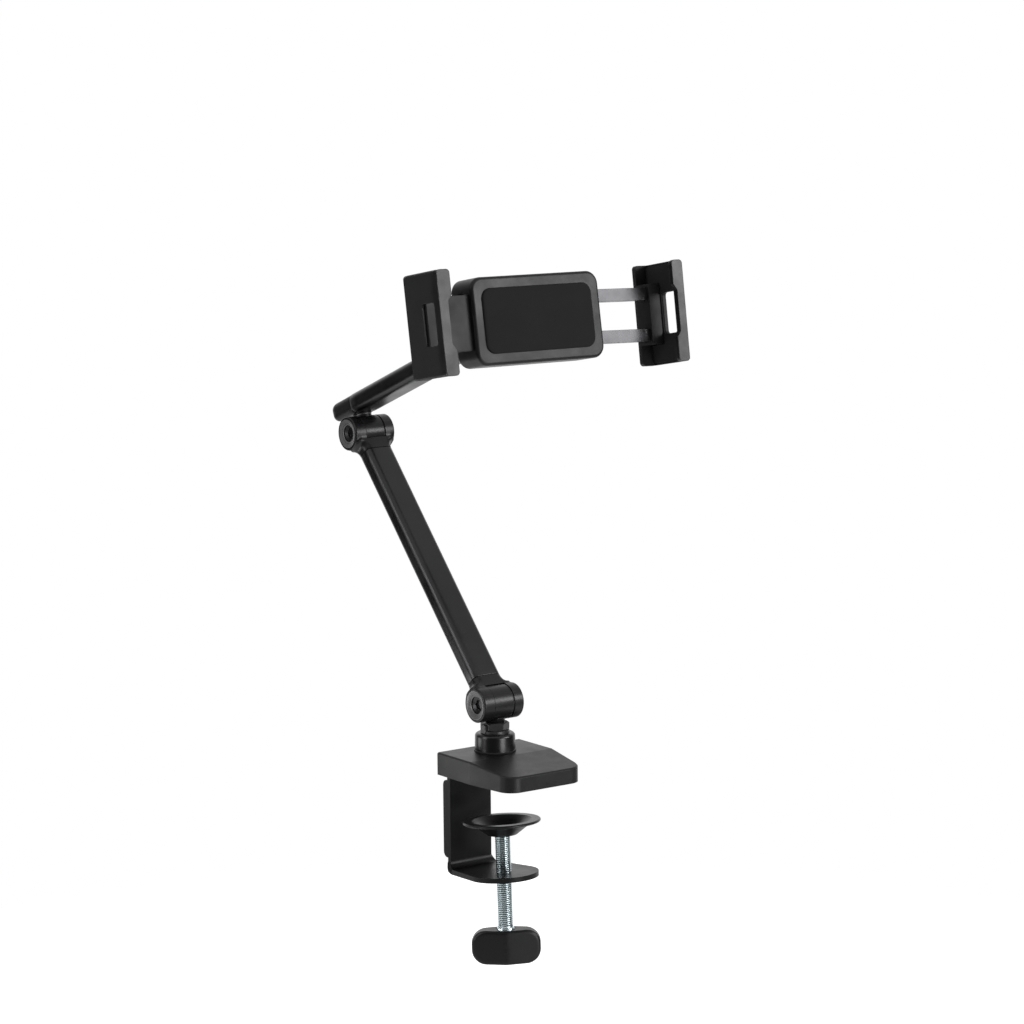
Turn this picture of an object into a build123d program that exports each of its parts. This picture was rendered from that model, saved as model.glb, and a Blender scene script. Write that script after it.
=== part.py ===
from build123d import *
import math
import os

# Tablet arm for a desk edge. Millimetres, +Z up. The origin is on the swivel axis, in the plane of the
# desk top that the clamp grips. X runs along the pivots, -Y towards the user, +Y away from the user.

# Base cover
cover_rear_width = 64.8
cover_front_width = 57.0
cover_rear_y = 18.7
cover_kink_y = -17.7
cover_front_y = -54.9
cover_height = 14.4
cover_front_drop = 4.5
cover_lift = 1.0
cover_wall = 3.0
cover_roof = 3.2
cover_front_radius = 10.0
cover_edge = 0.8

# Bent steel bracket
sheet = 3.2
spine_face_y = 28.0
spine_half_width = 16.0
bracket_bend = 4.8
flange_depth = 7.9
flange_low = -58.6
flange_high = -7.6
desk_plate_half_width = 24.0
desk_plate_front_y = -45.0
plate_rise_deg = 4.5
plate_tip_radius = 22.3
plate_root_half_width = 18.6
screw_y = -8.3
plate_low_z = -65.4
dart_width = 4.0
dart_reach = 3.6
dart_x = 9.0

# Clamp screw, pad and wing knob
screw_diameter = 8.0
screw_lean_deg = 2.4
thread_gap = 0.1
bush_outer = 12.0
bush_flange = 15.0
bush_flange_height = 1.8
pad_rim_diameter = 49.7
pad_rim_width = 5.6
pad_floor_diameter = 19.0
pad_mouth_diameter = 34.0
pad_height = 9.4
pad_sheet = 1.7
pad_rim_height = 36.9
tip_diameter = 5.0
tip_head_diameter = 9.0
tip_head_height = 2.0
tip_head_gap = 0.35
tip_gap = 0.15
knob_width = 44.2
knob_height = 22.0
knob_thickness = 18.0
knob_end_thickness = 7.0
knob_corner = 7.5
knob_top_depth = 33.9
knob_turn_deg = -35.6
knob_dish_margin = 1.2
knob_dish_depth = 1.5
collar_step = 0.7
collar_height = 2.8
pin_diameter = 3.0

# Swivel foot
cup_base_diameter = 26.1
cup_top_diameter = 24.5
cup_height = 12.0
cup_round = 2.5
foot_washer_diameter = 27.5
foot_washer_thickness = 0.8
stud_diameter = 10.0
jam_nut_flats = 16.0
jam_nut_height = 5.0
tab_washer_diameter = 18.4
tab_washer_thickness = 1.8
tab_height = 5.8
tab_width = 5.0
tab_thickness = 1.4
post_diameter = 8.0
post_head_diameter = 18.0
post_head_height = 3.4
spring_washer_thickness = 1.2
post_boss_diameter = 24.0

# Pivots, one design used three times
neck_height = 1.05
pivot_radius = 11.15
joint_width = 30.5
knuckle_width = 14.5
bolt_diameter = 8.0
running_gap = 0.1
side_gap = 0.05
friction_washer_thickness = 0.8
friction_washer_diameter = 20.6
crotch_gap = 0.85
bolt_head_diameter = 13.0
bolt_head_height = 3.2
bolt_head_sink = 1.9
ring_diameter = 20.6
ring_thickness = 1.4
ring_proud = 0.2
ring_hole = 13.3
pivot_nut_flats = 13.0
pivot_nut_height = 4.2
nut_pocket_play = 0.3
casting_length = 24.0
spigot_length = 14.0
ear_edge = 0.7

# Arm tubes
tube_width = 21.2
tube_depth = 13.0
tube_corner = 4.6
tube_wall = 1.8
spigot_gap = 0.1
lower_arm_length = 215.3
lower_arm_lean_deg = 42.18
upper_arm_length = 180.0
upper_arm_incline_deg = 21.0

# Elbow swivel
neck_shoulder = 1.3
swivel_washer_thickness = 0.75
saddle_diameter = 15.0
saddle_flare_diameter = 22.4
saddle_floor = 0.8
saddle_height = 3.6
swivel_nut_height = 6.5
plain_washer_thickness = 1.0
plain_washer_diameter = 15.0
end_cap_length = 10.5
end_cap_round = 5.8
tube_overhang = 14.5
end_cap_spigot = 4.5

# Holder
holder_tilt_deg = 9.5
housing_gap = 1.15
jaw_depth = 36.0
jaw_height = 63.7
jaw_wall = 2.6
jaw_round = 1.6
liner = 1.1
left_lip_width = 9.4
right_lip_width = 8.2
lip_notch_depth = 2.7
lip_notch_half = 16.5
lip_slant = 3.6
lip_thickness = 2.8
slot_half_height = 13.0
slot_inset = 17.0
slot_depth = 13.1
back_flange_width = 12.0
back_flange_thickness = 3.0
left_jaw_outer_x = -81.1
right_jaw_outer_x = 104.0
slide_sag_deg = 1.3
housing_half_width = 48.0
housing_half_height = 27.0
housing_depth = 22.5
housing_wall = 2.4
housing_corner = 8.0
housing_edge = 2.0
foam_thickness = 2.0
rail_height = 8.0
rail_thickness = 6.0
rail_gap_half = 9.0
rail_inset = 7.7
rail_length = 129.0
rail_play = 0.3
rail_socket = 8.0
block_depth = 10.0
web_half_height = 17.0
web_thickness = 4.2
web_gap = 0.8
web_reach = 16.0
spindle_diameter = 8.0
neck_gap = 0.3
neck_washer_thickness = 0.8
spindle_boss_height = 4.2
lock_knob_x = 36.0
lock_knob_diameter = 16.0
lock_knob_height = 11.0
lock_screw_diameter = 6.0
shoe_length = 16.0
shoe_thickness = 2.6
small_screw = 3.0
small_screw_core = 2.6
small_screw_head = 5.5
small_screw_gap = 0.2
boss_wall = 2.1

os.makedirs("parts", exist_ok=True)


def save(name, *solids):
    shape = solids[0] if len(solids) == 1 else Compound(children=list(solids))
    export_step(shape, os.path.join("parts", name + ".step"))


def one(shape):
    """The single solid of a boolean result."""
    return max(shape.solids(), key=lambda solid: solid.volume)


def disc(frame, radius, low, high):
    """A cylinder about the frame's Z from low to high."""
    body = Cylinder(radius, high - low, align=(Align.CENTER, Align.CENTER, Align.MIN))
    return frame * (Pos(0, 0, low) * body)


def cone(frame, low_radius, high_radius, low, high):
    body = Cone(low_radius, high_radius, high - low, align=(Align.CENTER, Align.CENTER, Align.MIN))
    return frame * (Pos(0, 0, low) * body)


def box(frame, x_low, x_high, y_low, y_high, z_low, z_high):
    """A block given by its six faces in the frame."""
    size = Box(x_high - x_low, y_high - y_low, z_high - z_low)
    return frame * (Pos((x_low + x_high) / 2, (y_low + y_high) / 2, (z_low + z_high) / 2) * size)


def hexagon(frame, flats, low, high, turn=0.0):
    """A hexagon prism with flats across its faces; at turn 0 one flat faces the frame's -X."""
    shape = extrude(RegularPolygon(flats / 2, 6, major_radius=False, rotation=30 + turn), high - low)
    return frame * (Pos(0, 0, low) * shape)


def nut(frame, flats, bore, low, high, turn=0.0):
    """A hexagon nut with both ends chamfered on a cone."""
    corner = flats / math.sqrt(3)
    bevel = corner - flats / 2
    rounding = cone(frame, corner - bevel, corner, low, low + bevel * 0.6)
    rounding += disc(frame, corner, low + bevel * 0.6, high - bevel * 0.6)
    rounding += cone(frame, corner, corner - bevel, high - bevel * 0.6, high)
    return one((hexagon(frame, flats, low, high, turn) & rounding) - disc(frame, bore / 2, low - 1, high + 1))


def washer(frame, outer, bore, low, high):
    return one(disc(frame, outer / 2, low, high) - disc(frame, bore / 2, low - 1, high + 1))


def turned(frame, points):
    """A body of revolution about the frame's Z from (radius, height) points."""
    face = make_face(Polyline(*points, close=True))
    return frame * revolve(Plane.XZ * face, Axis.Z)


def frame_at(origin, z_dir, x_dir=(1, 0, 0)):
    return Plane(origin=origin, x_dir=x_dir, z_dir=z_dir)


def lean(degrees):
    """The direction that leans back from upright by the angle."""
    angle = math.radians(degrees)
    return Vector(0, math.sin(angle), math.cos(angle))


# Frames of the assembly
world = Plane.XY
cover_low = cover_lift
cover_top = cover_lift + cover_height
plate_frame = frame_at((0, screw_y, plate_low_z), lean(plate_rise_deg))
screw_frame = frame_at((0, screw_y, plate_low_z), lean(screw_lean_deg))

joint_height = cup_height + tab_washer_thickness + jam_nut_height + neck_height + pivot_radius
lower_joint = Vector(0, 0, cover_top + joint_height)
lower_arm_dir = lean(lower_arm_lean_deg)
elbow = lower_joint + lower_arm_dir * lower_arm_length
upper_arm_dir = lean(upper_arm_incline_deg - 90)
elbow_up = lean(upper_arm_incline_deg)
arm_seat = pivot_radius + side_gap
saddle_low = arm_seat + swivel_washer_thickness
tube_low = saddle_low + saddle_floor
arm_rise = tube_low + tube_depth / 2
arm_start = elbow + elbow_up * arm_rise
holder_axis = arm_start + upper_arm_dir * upper_arm_length
holder_normal = lean(holder_tilt_deg - 90)

lower_fork_frame = frame_at(lower_joint, lower_arm_dir)
elbow_fork_frame = frame_at(elbow, lower_arm_dir * -1)
upper_arm_frame = frame_at(arm_start, upper_arm_dir)
tip_fork_frame = frame_at(holder_axis, upper_arm_dir * -1)
elbow_frame = frame_at(elbow, elbow_up)
holder_frame = frame_at(holder_axis, holder_normal)
slide_turn = Rot(0, 0, -slide_sag_deg)
lower_pivot = frame_at(lower_joint, (1, 0, 0), (0, 0, 1))
elbow_pivot = frame_at(elbow, (1, 0, 0), (0, 0, 1))
tip_pivot = frame_at(holder_axis, (1, 0, 0), (0, 0, 1))

# Depths in the holder, from the tilt axis to the front: the housing clears the round of the pivot
back_gap = pivot_radius + housing_gap
axis_to_lip_face = back_gap + jaw_depth
slot_near = back_gap + slot_inset
slot_far = slot_near + slot_depth
rail_back = back_gap + rail_inset

# The screw's collar and the dish that it stands in
collar_diameter = screw_diameter + 2 * collar_step
knob_dish = collar_diameter + 2 * knob_dish_margin

# Necks that leave a knuckle between its ears are a little narrower than the knuckle
swivel_washer_diameter = knuckle_width - 2 * neck_shoulder
neck_diameter = knuckle_width - neck_gap

# Stations along a pivot, from the head side at -X to the nut side at +X
ear_left = -joint_width / 2
ear_right = joint_width / 2
slot_left = -knuckle_width / 2 - side_gap
slot_right = knuckle_width / 2 + friction_washer_thickness + 2 * side_gap
head_seat = ear_left + bolt_head_sink + bolt_head_height
nut_seat = ear_right - pivot_nut_height - 0.6


spigot_width = tube_width - 2 * (tube_wall + spigot_gap)
spigot_depth = tube_depth - 2 * (tube_wall + spigot_gap)
spigot_plan = RectangleRounded(spigot_width, spigot_depth, tube_corner - tube_wall)


def casting(frame, pivot):
    """A fork that plugs into a tube: two ears round the pivot, a web behind the slot and a spigot."""
    sections = [
        (0.0, joint_width - 0.3, 19.6, 5.2),
        (8.0, joint_width - 1.2, 18.2, 5.2),
        (15.5, (joint_width + tube_width) / 2 - 1.2, 15.0, 5.0),
        (casting_length, tube_width, tube_depth, tube_corner),
    ]
    faces = [frame * (Pos(0, 0, z) * RectangleRounded(w, d, r)) for z, w, d, r in sections]
    web = loft(faces)
    ears = disc(pivot, pivot_radius, ear_left, ear_right)
    ears = fillet(ears.edges().filter_by(GeomType.CIRCLE), ear_edge)
    body = web + ears + frame * (Pos(0, 0, casting_length) * extrude(spigot_plan, spigot_length))
    body -= disc(pivot, pivot_radius + crotch_gap, slot_left, slot_right)
    body -= disc(pivot, (bolt_diameter + running_gap) / 2, ear_left - 1, ear_right + 1)
    body -= disc(pivot, ring_hole / 2, ear_left - 1, head_seat)
    body -= disc(pivot, ring_diameter / 2, ear_left - 1, ear_left - ring_proud + ring_thickness)
    body -= hexagon(pivot, pivot_nut_flats + nut_pocket_play, nut_seat, ear_right + 1)
    return one(body)


def end_ring(pivot):
    """The ring set into the ear on the head side."""
    low = ear_left - ring_proud
    ring = washer(pivot, ring_diameter, ring_hole, low, low + ring_thickness)
    return chamfer(ring.edges().filter_by(GeomType.CIRCLE).group_by(Axis.X)[0], 0.35)


def pivot_bolt(pivot):
    """A socket head bolt across both ears, with a dished head."""
    head_low = head_seat - bolt_head_height
    body = disc(pivot, bolt_head_diameter / 2, head_low, head_seat)
    body += disc(pivot, bolt_diameter / 2, head_seat - 0.5, nut_seat + pivot_nut_height + 0.3)
    body -= cone(pivot, bolt_head_diameter / 2 - 0.9, bolt_head_diameter / 4, head_low - 0.01, head_low + 0.9)
    body -= hexagon(pivot, 6.0, head_low, head_low + 2.3)
    return one(body)


def pivot_nut(pivot):
    return nut(pivot, pivot_nut_flats, bolt_diameter, nut_seat, nut_seat + pivot_nut_height)


def friction_washer(pivot):
    low = knuckle_width / 2 + side_gap
    bore = bolt_diameter + 2 * running_gap
    return washer(pivot, friction_washer_diameter, bore, low, low + friction_washer_thickness)


def barrel(pivot):
    """The round body of a knuckle between the ears, before its bore."""
    body = disc(pivot, pivot_radius, -knuckle_width / 2, knuckle_width / 2)
    return chamfer(body.edges().filter_by(GeomType.CIRCLE), 0.25)


def bored(body, pivot):
    bore = bolt_diameter / 2 + running_gap
    return one(body - disc(pivot, bore, -knuckle_width, knuckle_width))


def tube(frame, low, high):
    outer = extrude(RectangleRounded(tube_width, tube_depth, tube_corner), high - low)
    room = RectangleRounded(tube_width - 2 * tube_wall, tube_depth - 2 * tube_wall, tube_corner - tube_wall)
    return frame * (Pos(0, 0, low) * (outer - extrude(room, high - low)))


# Base cover: a moulded cap with a sloping front, hollow underneath
def cover_outline(inset, height):
    """The plan of the cover, drawn in by the inset, as a prism."""
    rear = cover_rear_width / 2 - inset
    front = cover_front_width / 2 - inset
    points = [
        (-rear, cover_rear_y - inset),
        (-rear, cover_kink_y),
        (-front, cover_front_y + inset),
        (front, cover_front_y + inset),
        (rear, cover_kink_y),
        (rear, cover_rear_y - inset),
    ]
    prism = extrude(make_face(Polyline(*points, close=True)), height)
    corners = prism.edges().filter_by(Axis.Z)
    prism = fillet(corners.group_by(Axis.Y)[0], cover_front_radius - inset)
    rear_corners = prism.edges().filter_by(Axis.Z).group_by(Axis.Y)[-1]
    return fillet(rear_corners, 1.2)


def front_wedge(depth):
    """What the slope takes off above the front half, when the roof stands depth below the cover top."""
    far = cover_front_y - 5
    drop = cover_front_drop * (far - cover_kink_y) / (cover_front_y - cover_kink_y)
    top = cover_top - depth
    points = [(cover_kink_y, top), (far, top - drop), (far, top + 30), (cover_kink_y, top + 30)]
    face = Plane.YZ * make_face(Polyline(*points, close=True))
    return extrude(face, cover_rear_width, both=True)


plate_top = 2.0 + sheet
desk_pad_top = plate_top - sheet
boss_low = plate_top + 2.0
cover_shell = Pos(0, 0, cover_low) * cover_outline(0, cover_height) - front_wedge(0)
top_faces = [face for face in cover_shell.faces() if face.normal_at().Z > 0.9]
top_edges = [edge for face in top_faces for edge in face.edges()]
creases = [edge for edge in top_edges if abs(edge.center().Y - cover_kink_y) < 0.1 and edge.length > 50]
rim_edges = [edge for edge in top_edges if not any(edge.is_same(crease) for crease in creases)]
cover_shell = chamfer(ShapeList(rim_edges), cover_edge)
hollow = Pos(0, 0, cover_low - 1) * cover_outline(cover_wall, cover_height + 1 - cover_roof)
cover_shell -= hollow - front_wedge(cover_roof)
cover_screw_places = [(x, y) for x in (-18, 18) for y in (-38, 10)]
post_boss = disc(world, post_boss_diameter / 2, boss_low, cover_top - 1)
cover_body = cover_shell + post_boss
screw_boss_radius = small_screw_core / 2 + boss_wall
screw_boss_top = cover_top - cover_roof - cover_front_drop + 1.2
for x, y in cover_screw_places:
    cover_body += Pos(x, y, 0) * disc(world, screw_boss_radius, plate_top, screw_boss_top)
notch_half = spine_half_width + 3.5
notch_front_y = cover_rear_y - cover_wall - 1
cover_body -= box(world, -notch_half, notch_half, notch_front_y, cover_rear_y + 1, -1, plate_top + 0.3)
cover_body -= disc(world, post_diameter / 2 + running_gap, -1, cover_top + 1)
for x, y in cover_screw_places:
    cover_body -= Pos(x, y, 0) * disc(world, small_screw_core / 2, plate_top - 1, plate_top + 5)
save("base_cover", one(cover_body))

# Bracket: one strip bent twice, with two stiffening flanges, cut to its outline
rise = math.radians(plate_rise_deg)
low_mid = plate_low_z + sheet / 2 / math.cos(rise)
spine_mid_y = spine_face_y + sheet / 2
tip_y = screw_y - plate_tip_radius * math.cos(rise)
profile = FilletPolyline(
    (desk_plate_front_y, plate_top - sheet / 2),
    (spine_mid_y, plate_top - sheet / 2),
    (spine_mid_y, low_mid - (spine_mid_y - screw_y) * math.tan(rise)),
    (tip_y - 6, low_mid + (screw_y - tip_y + 6) * math.tan(rise)),
    radius=bracket_bend + sheet / 2,
)
strip = extrude(Plane.YZ * trace(profile, sheet), 30, both=True)
desk_plate_rear_y = cover_rear_y - cover_wall - 1.5
top_plan = make_face(
    Polyline(
        (-desk_plate_half_width, desk_plate_front_y),
        (desk_plate_half_width, desk_plate_front_y),
        (desk_plate_half_width, desk_plate_rear_y),
        (spine_half_width + 2.5, desk_plate_rear_y),
        (spine_half_width, 50),
        (-spine_half_width, 50),
        (-spine_half_width - 2.5, desk_plate_rear_y),
        (-desk_plate_half_width, desk_plate_rear_y),
        close=True,
    )
)
spine_top = plate_top - sheet - bracket_bend
widen_z = flange_low - 2
spine_front = Plane.XZ * make_face(
    Polyline(
        (-spine_half_width, spine_top),
        (-spine_half_width, widen_z),
        (-plate_root_half_width, widen_z - 6),
        (-plate_root_half_width, -90),
        (plate_root_half_width, -90),
        (plate_root_half_width, widen_z - 6),
        (spine_half_width, widen_z),
        (spine_half_width, spine_top),
        close=True,
    )
)
spine_zone = extrude(spine_front, 60, both=True)
spine_zone &= box(world, -30, 30, spine_face_y - bracket_bend - 2, 60, -90, 10)
tangent = math.asin((plate_tip_radius - plate_root_half_width) / (spine_face_y - screw_y))
plan_low = make_face(
    Polyline(
        (-plate_root_half_width, spine_face_y - bracket_bend),
        (-plate_tip_radius * math.cos(tangent), screw_y + plate_tip_radius * math.sin(tangent)),
        (0, screw_y),
        (plate_tip_radius * math.cos(tangent), screw_y + plate_tip_radius * math.sin(tangent)),
        (plate_root_half_width, spine_face_y - bracket_bend),
        close=True,
    )
) + Pos(0, screw_y) * Circle(plate_tip_radius)
plate_zone = Pos(0, 0, -90) * extrude(plan_low, 60)
top_zone = Pos(0, 0, spine_top) * extrude(top_plan, 12)
bracket = (strip & top_zone) + (strip & spine_zone) + (strip & plate_zone)
flange_profile = Plane.YZ * (
    Pos(spine_face_y + flange_depth / 2, (flange_low + flange_high) / 2)
    * RectangleRounded(flange_depth, flange_high - flange_low, 3.8)
)
for side in (-1, 1):
    flange = extrude(flange_profile, side * sheet)
    bracket += Pos(side * (spine_half_width - sheet), 0, 0) * flange
dart_low = plate_low_z + sheet - (spine_face_y - screw_y) * math.tan(rise)
dart_profile = Plane.YZ * make_face(
    Polyline(
        (spine_face_y + 0.5, dart_low - 0.5),
        (spine_face_y + 0.5, dart_low + dart_reach),
        (spine_face_y - dart_reach, dart_low - 0.5 + dart_reach * math.tan(rise)),
        close=True,
    )
)
for side in (-1, 1):
    bracket += Pos(side * dart_x, 0, 0) * extrude(dart_profile, dart_width / 2, both=True)
bracket -= disc(plate_frame, bush_outer / 2, -4, sheet + 4)
bracket -= disc(world, post_boss_diameter / 2 + 0.5, -1, plate_top + 1)
screw_hole = disc(world, small_screw / 2 + small_screw_gap, -1, plate_top + 1)
screw_seat_radius = small_screw_head / 2 + small_screw_gap
screw_hole += cone(world, screw_seat_radius, small_screw / 2, desk_pad_top, desk_pad_top + 1.7)
for x, y in cover_screw_places:
    bracket -= Pos(x, y, 0) * screw_hole
save("clamp_bracket", one(bracket))

# Rubber pad on the desk side; it covers the swivel screw and has holes for the cover screws
pad_half_width = desk_plate_half_width - 1
pad_front_y = desk_plate_front_y + 1
pad_plate = box(world, -pad_half_width, pad_half_width, pad_front_y, desk_plate_rear_y - 1, 0, desk_pad_top)
pad_plate = fillet(pad_plate.edges().filter_by(Axis.Z), 3)
for x, y in cover_screw_places:
    pad_plate -= Pos(x, y, 0) * disc(world, small_screw_head / 2 + 0.4, -1, desk_pad_top + 1)
save("desk_pad", one(pad_plate))


def countersunk(frame, shank, head, low, length):
    """A countersunk screw whose head starts at low and points up the frame's Z."""
    body = cone(frame, head / 2, shank / 2, low, low + (head - shank) / 2)
    body += disc(frame, shank / 2, low + (head - shank) / 2 - 0.01, low + length)
    body -= hexagon(frame, shank * 0.55, low - 0.1, low + shank * 0.35)
    return one(body)


cover_screw = countersunk(world, small_screw_core, small_screw_head, desk_pad_top + 0.1, 7.6)
save("cover_screws", *[Pos(x, y, 0) * cover_screw for x, y in cover_screw_places])

# Threaded bush pressed into the lower plate from below, its flange under the plate
bush = disc(plate_frame, bush_outer / 2, -1, sheet)
bush += disc(plate_frame, bush_flange / 2, -bush_flange_height, 0)
bush -= disc(screw_frame, screw_diameter / 2 + thread_gap, -5, 12)
save("thread_bush", one(bush))

# Foot washer, and the swivel screw with its spring washer below
foot_top = cover_top + foot_washer_thickness
save("foot_washer", washer(world, foot_washer_diameter, post_diameter + 2 * running_gap, cover_top, foot_top))
post_head_top = boss_low - spring_washer_thickness
cup_top = cover_top + cup_height
swivel_screw = disc(world, post_head_diameter / 2, post_head_top - post_head_height, post_head_top)
swivel_screw += disc(world, post_diameter / 2, post_head_top - 1, foot_top + 4.6)
swivel_screw -= hexagon(world, 6.0, post_head_top - post_head_height - 0.1, post_head_top - 1.2)
save("swivel_screw", one(swivel_screw))
save("spring_washer", washer(world, post_head_diameter + 1, post_diameter, post_head_top, boss_low))

# Swivel cup with the knuckle stud, jam nut and tab washer
cup = cone(world, cup_base_diameter / 2, cup_top_diameter / 2, foot_top, cup_top)
cup = fillet(cup.edges().filter_by(GeomType.CIRCLE).group_by(Axis.Z)[-1], cup_round)
cup -= disc(world, post_diameter / 2, foot_top - 1, foot_top + 4.6)
cup -= disc(world, stud_diameter / 2, foot_top + 5.2, cup_top + 1)
save("swivel_cup", one(cup))
washer_top = cup_top + tab_washer_thickness
nut_top = washer_top + jam_nut_height
tab_washer = washer(world, tab_washer_diameter, stud_diameter, cup_top, washer_top)
tab_inner = -jam_nut_flats / 2 - 0.05
tab_outer = tab_inner - tab_thickness
tab = box(world, tab_outer, tab_inner, -tab_width / 2, tab_width / 2, cup_top, cup_top + tab_height)
tab = fillet(tab.edges().filter_by(Axis.X).group_by(Axis.Z)[-1], 1.2)
save("tab_washer", one(tab_washer + tab))
save("jam_nut", nut(world, jam_nut_flats, stud_diameter, washer_top, nut_top))
lower_knuckle = barrel(lower_pivot)
lower_knuckle += disc(world, stud_diameter / 2, foot_top + 5.2, lower_joint.Z)
lower_knuckle += cone(world, stud_diameter / 2 + 0.8, neck_diameter / 2, nut_top, nut_top + 3.2)
save("lower_knuckle", bored(lower_knuckle, lower_pivot))

# Lower arm
save("lower_foot_fork", casting(lower_fork_frame, lower_pivot))
save("lower_arm_tube", tube(lower_fork_frame, casting_length, lower_arm_length - casting_length))
save("lower_head_fork", casting(elbow_fork_frame, elbow_pivot))
save("lower_pivot_bolt", pivot_bolt(lower_pivot))
save("lower_pivot_nut", pivot_nut(lower_pivot))
save("lower_friction_washer", friction_washer(lower_pivot))
save("lower_arm_rings", end_ring(lower_pivot), end_ring(elbow_pivot))
save("elbow_pivot_bolt", pivot_bolt(elbow_pivot))
save("elbow_pivot_nut", pivot_nut(elbow_pivot))
save("elbow_friction_washer", friction_washer(elbow_pivot))

# Elbow knuckle: its stud passes the tube floor and takes a nut inside the tube
floor_top = tube_low + tube_wall
inner_washer_top = floor_top + plain_washer_thickness
swivel_nut_top = inner_washer_top + swivel_nut_height
elbow_knuckle = barrel(elbow_pivot)
elbow_knuckle += disc(elbow_frame, swivel_washer_diameter / 2, pivot_radius - 3, arm_seat)
elbow_knuckle += disc(elbow_frame, bolt_diameter / 2, 0, swivel_nut_top + 1)
save("elbow_knuckle", bored(elbow_knuckle, elbow_pivot))
stud_bore = bolt_diameter + 2 * running_gap
save("elbow_swivel_washer", washer(elbow_frame, swivel_washer_diameter, stud_bore, arm_seat, saddle_low))
save("elbow_swivel_nut", nut(elbow_frame, pivot_nut_flats, bolt_diameter, inner_washer_top, swivel_nut_top))

# Upper arm
upper_tube = tube(upper_arm_frame, -tube_overhang, upper_arm_length - casting_length)
upper_tube -= disc(elbow_frame, stud_bore / 2, 0, floor_top + 2)
save("upper_arm_tube", one(upper_tube))
inner_plan = RectangleRounded(spigot_width, tube_depth - 2 * tube_wall, tube_corner - tube_wall - spigot_gap)
inner_plate = extrude(inner_plan, plain_washer_diameter / 2, both=True)
inner_plate = (upper_arm_frame * inner_plate) & disc(elbow_frame, tube_width, floor_top, inner_washer_top)
inner_plate -= disc(elbow_frame, stud_bore / 2, 0, floor_top + 3)
save("elbow_inner_plate", one(inner_plate))
saddle_points = [
    (stud_bore / 2, saddle_low),
    (saddle_diameter / 2, saddle_low),
    (saddle_diameter / 2, saddle_low + 0.5),
    (saddle_diameter / 2 + 0.6, saddle_low + 1.2),
    ((saddle_diameter + saddle_flare_diameter) / 4, saddle_low + 2.0),
    (saddle_flare_diameter / 2, saddle_low + saddle_height - 0.6),
    (saddle_flare_diameter / 2, saddle_low + saddle_height),
    (stud_bore / 2, saddle_low + saddle_height),
]
tube_solid = extrude(RectangleRounded(tube_width, tube_depth, tube_corner), 80, both=True)
save("upper_arm_saddle", one(turned(elbow_frame, saddle_points) - upper_arm_frame * tube_solid))
cap = extrude(RectangleRounded(tube_width, tube_depth, tube_corner), end_cap_length)
cap = fillet(cap.edges().group_by(Axis.Z)[0], end_cap_round)
cap += Pos(0, 0, end_cap_length) * extrude(spigot_plan, end_cap_spigot)
save("upper_end_cap", upper_arm_frame * (Pos(0, 0, -tube_overhang - end_cap_length) * one(cap)))
save("upper_tip_fork", casting(tip_fork_frame, tip_pivot))
save("upper_arm_ring", end_ring(tip_pivot))
save("tilt_pivot_bolt", pivot_bolt(tip_pivot))
save("tilt_pivot_nut", pivot_nut(tip_pivot))
save("tilt_friction_washer", friction_washer(tip_pivot))

# Tilt knuckle: its spindle turns in the housing boss
boss_top = back_gap + spindle_boss_height
spindle_washer_top = boss_top + plain_washer_thickness
spindle_nut_top = spindle_washer_top + swivel_nut_height
tilt_knuckle = barrel(tip_pivot)
tilt_knuckle += disc(holder_frame, neck_diameter / 2, 6, back_gap - neck_washer_thickness)
tilt_knuckle += disc(holder_frame, spindle_diameter / 2, 0, spindle_nut_top + 0.6)
save("tilt_knuckle", bored(tilt_knuckle, tip_pivot))
spindle_bore = spindle_diameter + 2 * running_gap
save(
    "spindle_washers",
    washer(holder_frame, neck_diameter + 4, spindle_bore, back_gap - neck_washer_thickness, back_gap),
    washer(holder_frame, plain_washer_diameter, spindle_bore, boss_top, spindle_washer_top),
)
spindle_nut = nut(holder_frame, pivot_nut_flats, spindle_diameter, spindle_washer_top, spindle_nut_top, 30)
save("spindle_nut", spindle_nut)

# Holder housing: two shells that meet at mid depth
housing_split = back_gap + housing_depth / 2
housing_front = back_gap + housing_depth
rail_front = rail_back + rail_thickness
rail_outer = rail_gap_half + rail_height
web_back = rail_front + web_gap
web_front = web_back + web_thickness


def shell(low, high, outer_at_low):
    """One half of the housing: a tray with rounded outer edges, open at the split."""
    plan = RectangleRounded(2 * housing_half_width, 2 * housing_half_height, housing_corner)
    block = Pos(0, 0, low) * extrude(plan, high - low)
    rim = block.faces().sort_by(Axis.Z)[0 if outer_at_low else -1].edges()
    block = fillet(rim, housing_edge)
    room_width = 2 * (housing_half_width - housing_wall)
    room_height = 2 * (housing_half_height - housing_wall)
    room_plan = RectangleRounded(room_width, room_height, housing_corner - housing_wall)
    if outer_at_low:
        room = Pos(0, 0, low + housing_wall) * extrude(room_plan, high - low)
    else:
        room = Pos(0, 0, low - housing_wall) * extrude(room_plan, high - low)
    return block - room


flat = Plane.XY
shell_screw_places = [(x, y) for x in (-40, 40) for y in (-21, 21)]
rail_middle = rail_gap_half + rail_height / 2


def rail_block(x_low, x_high, side, play, low, high):
    """A block along one rail, larger than the rail by the play above and below it."""
    half = rail_height / 2 + play
    middle = side * rail_middle
    return box(flat, x_low, x_high, middle - half, middle + half, low, high)


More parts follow.
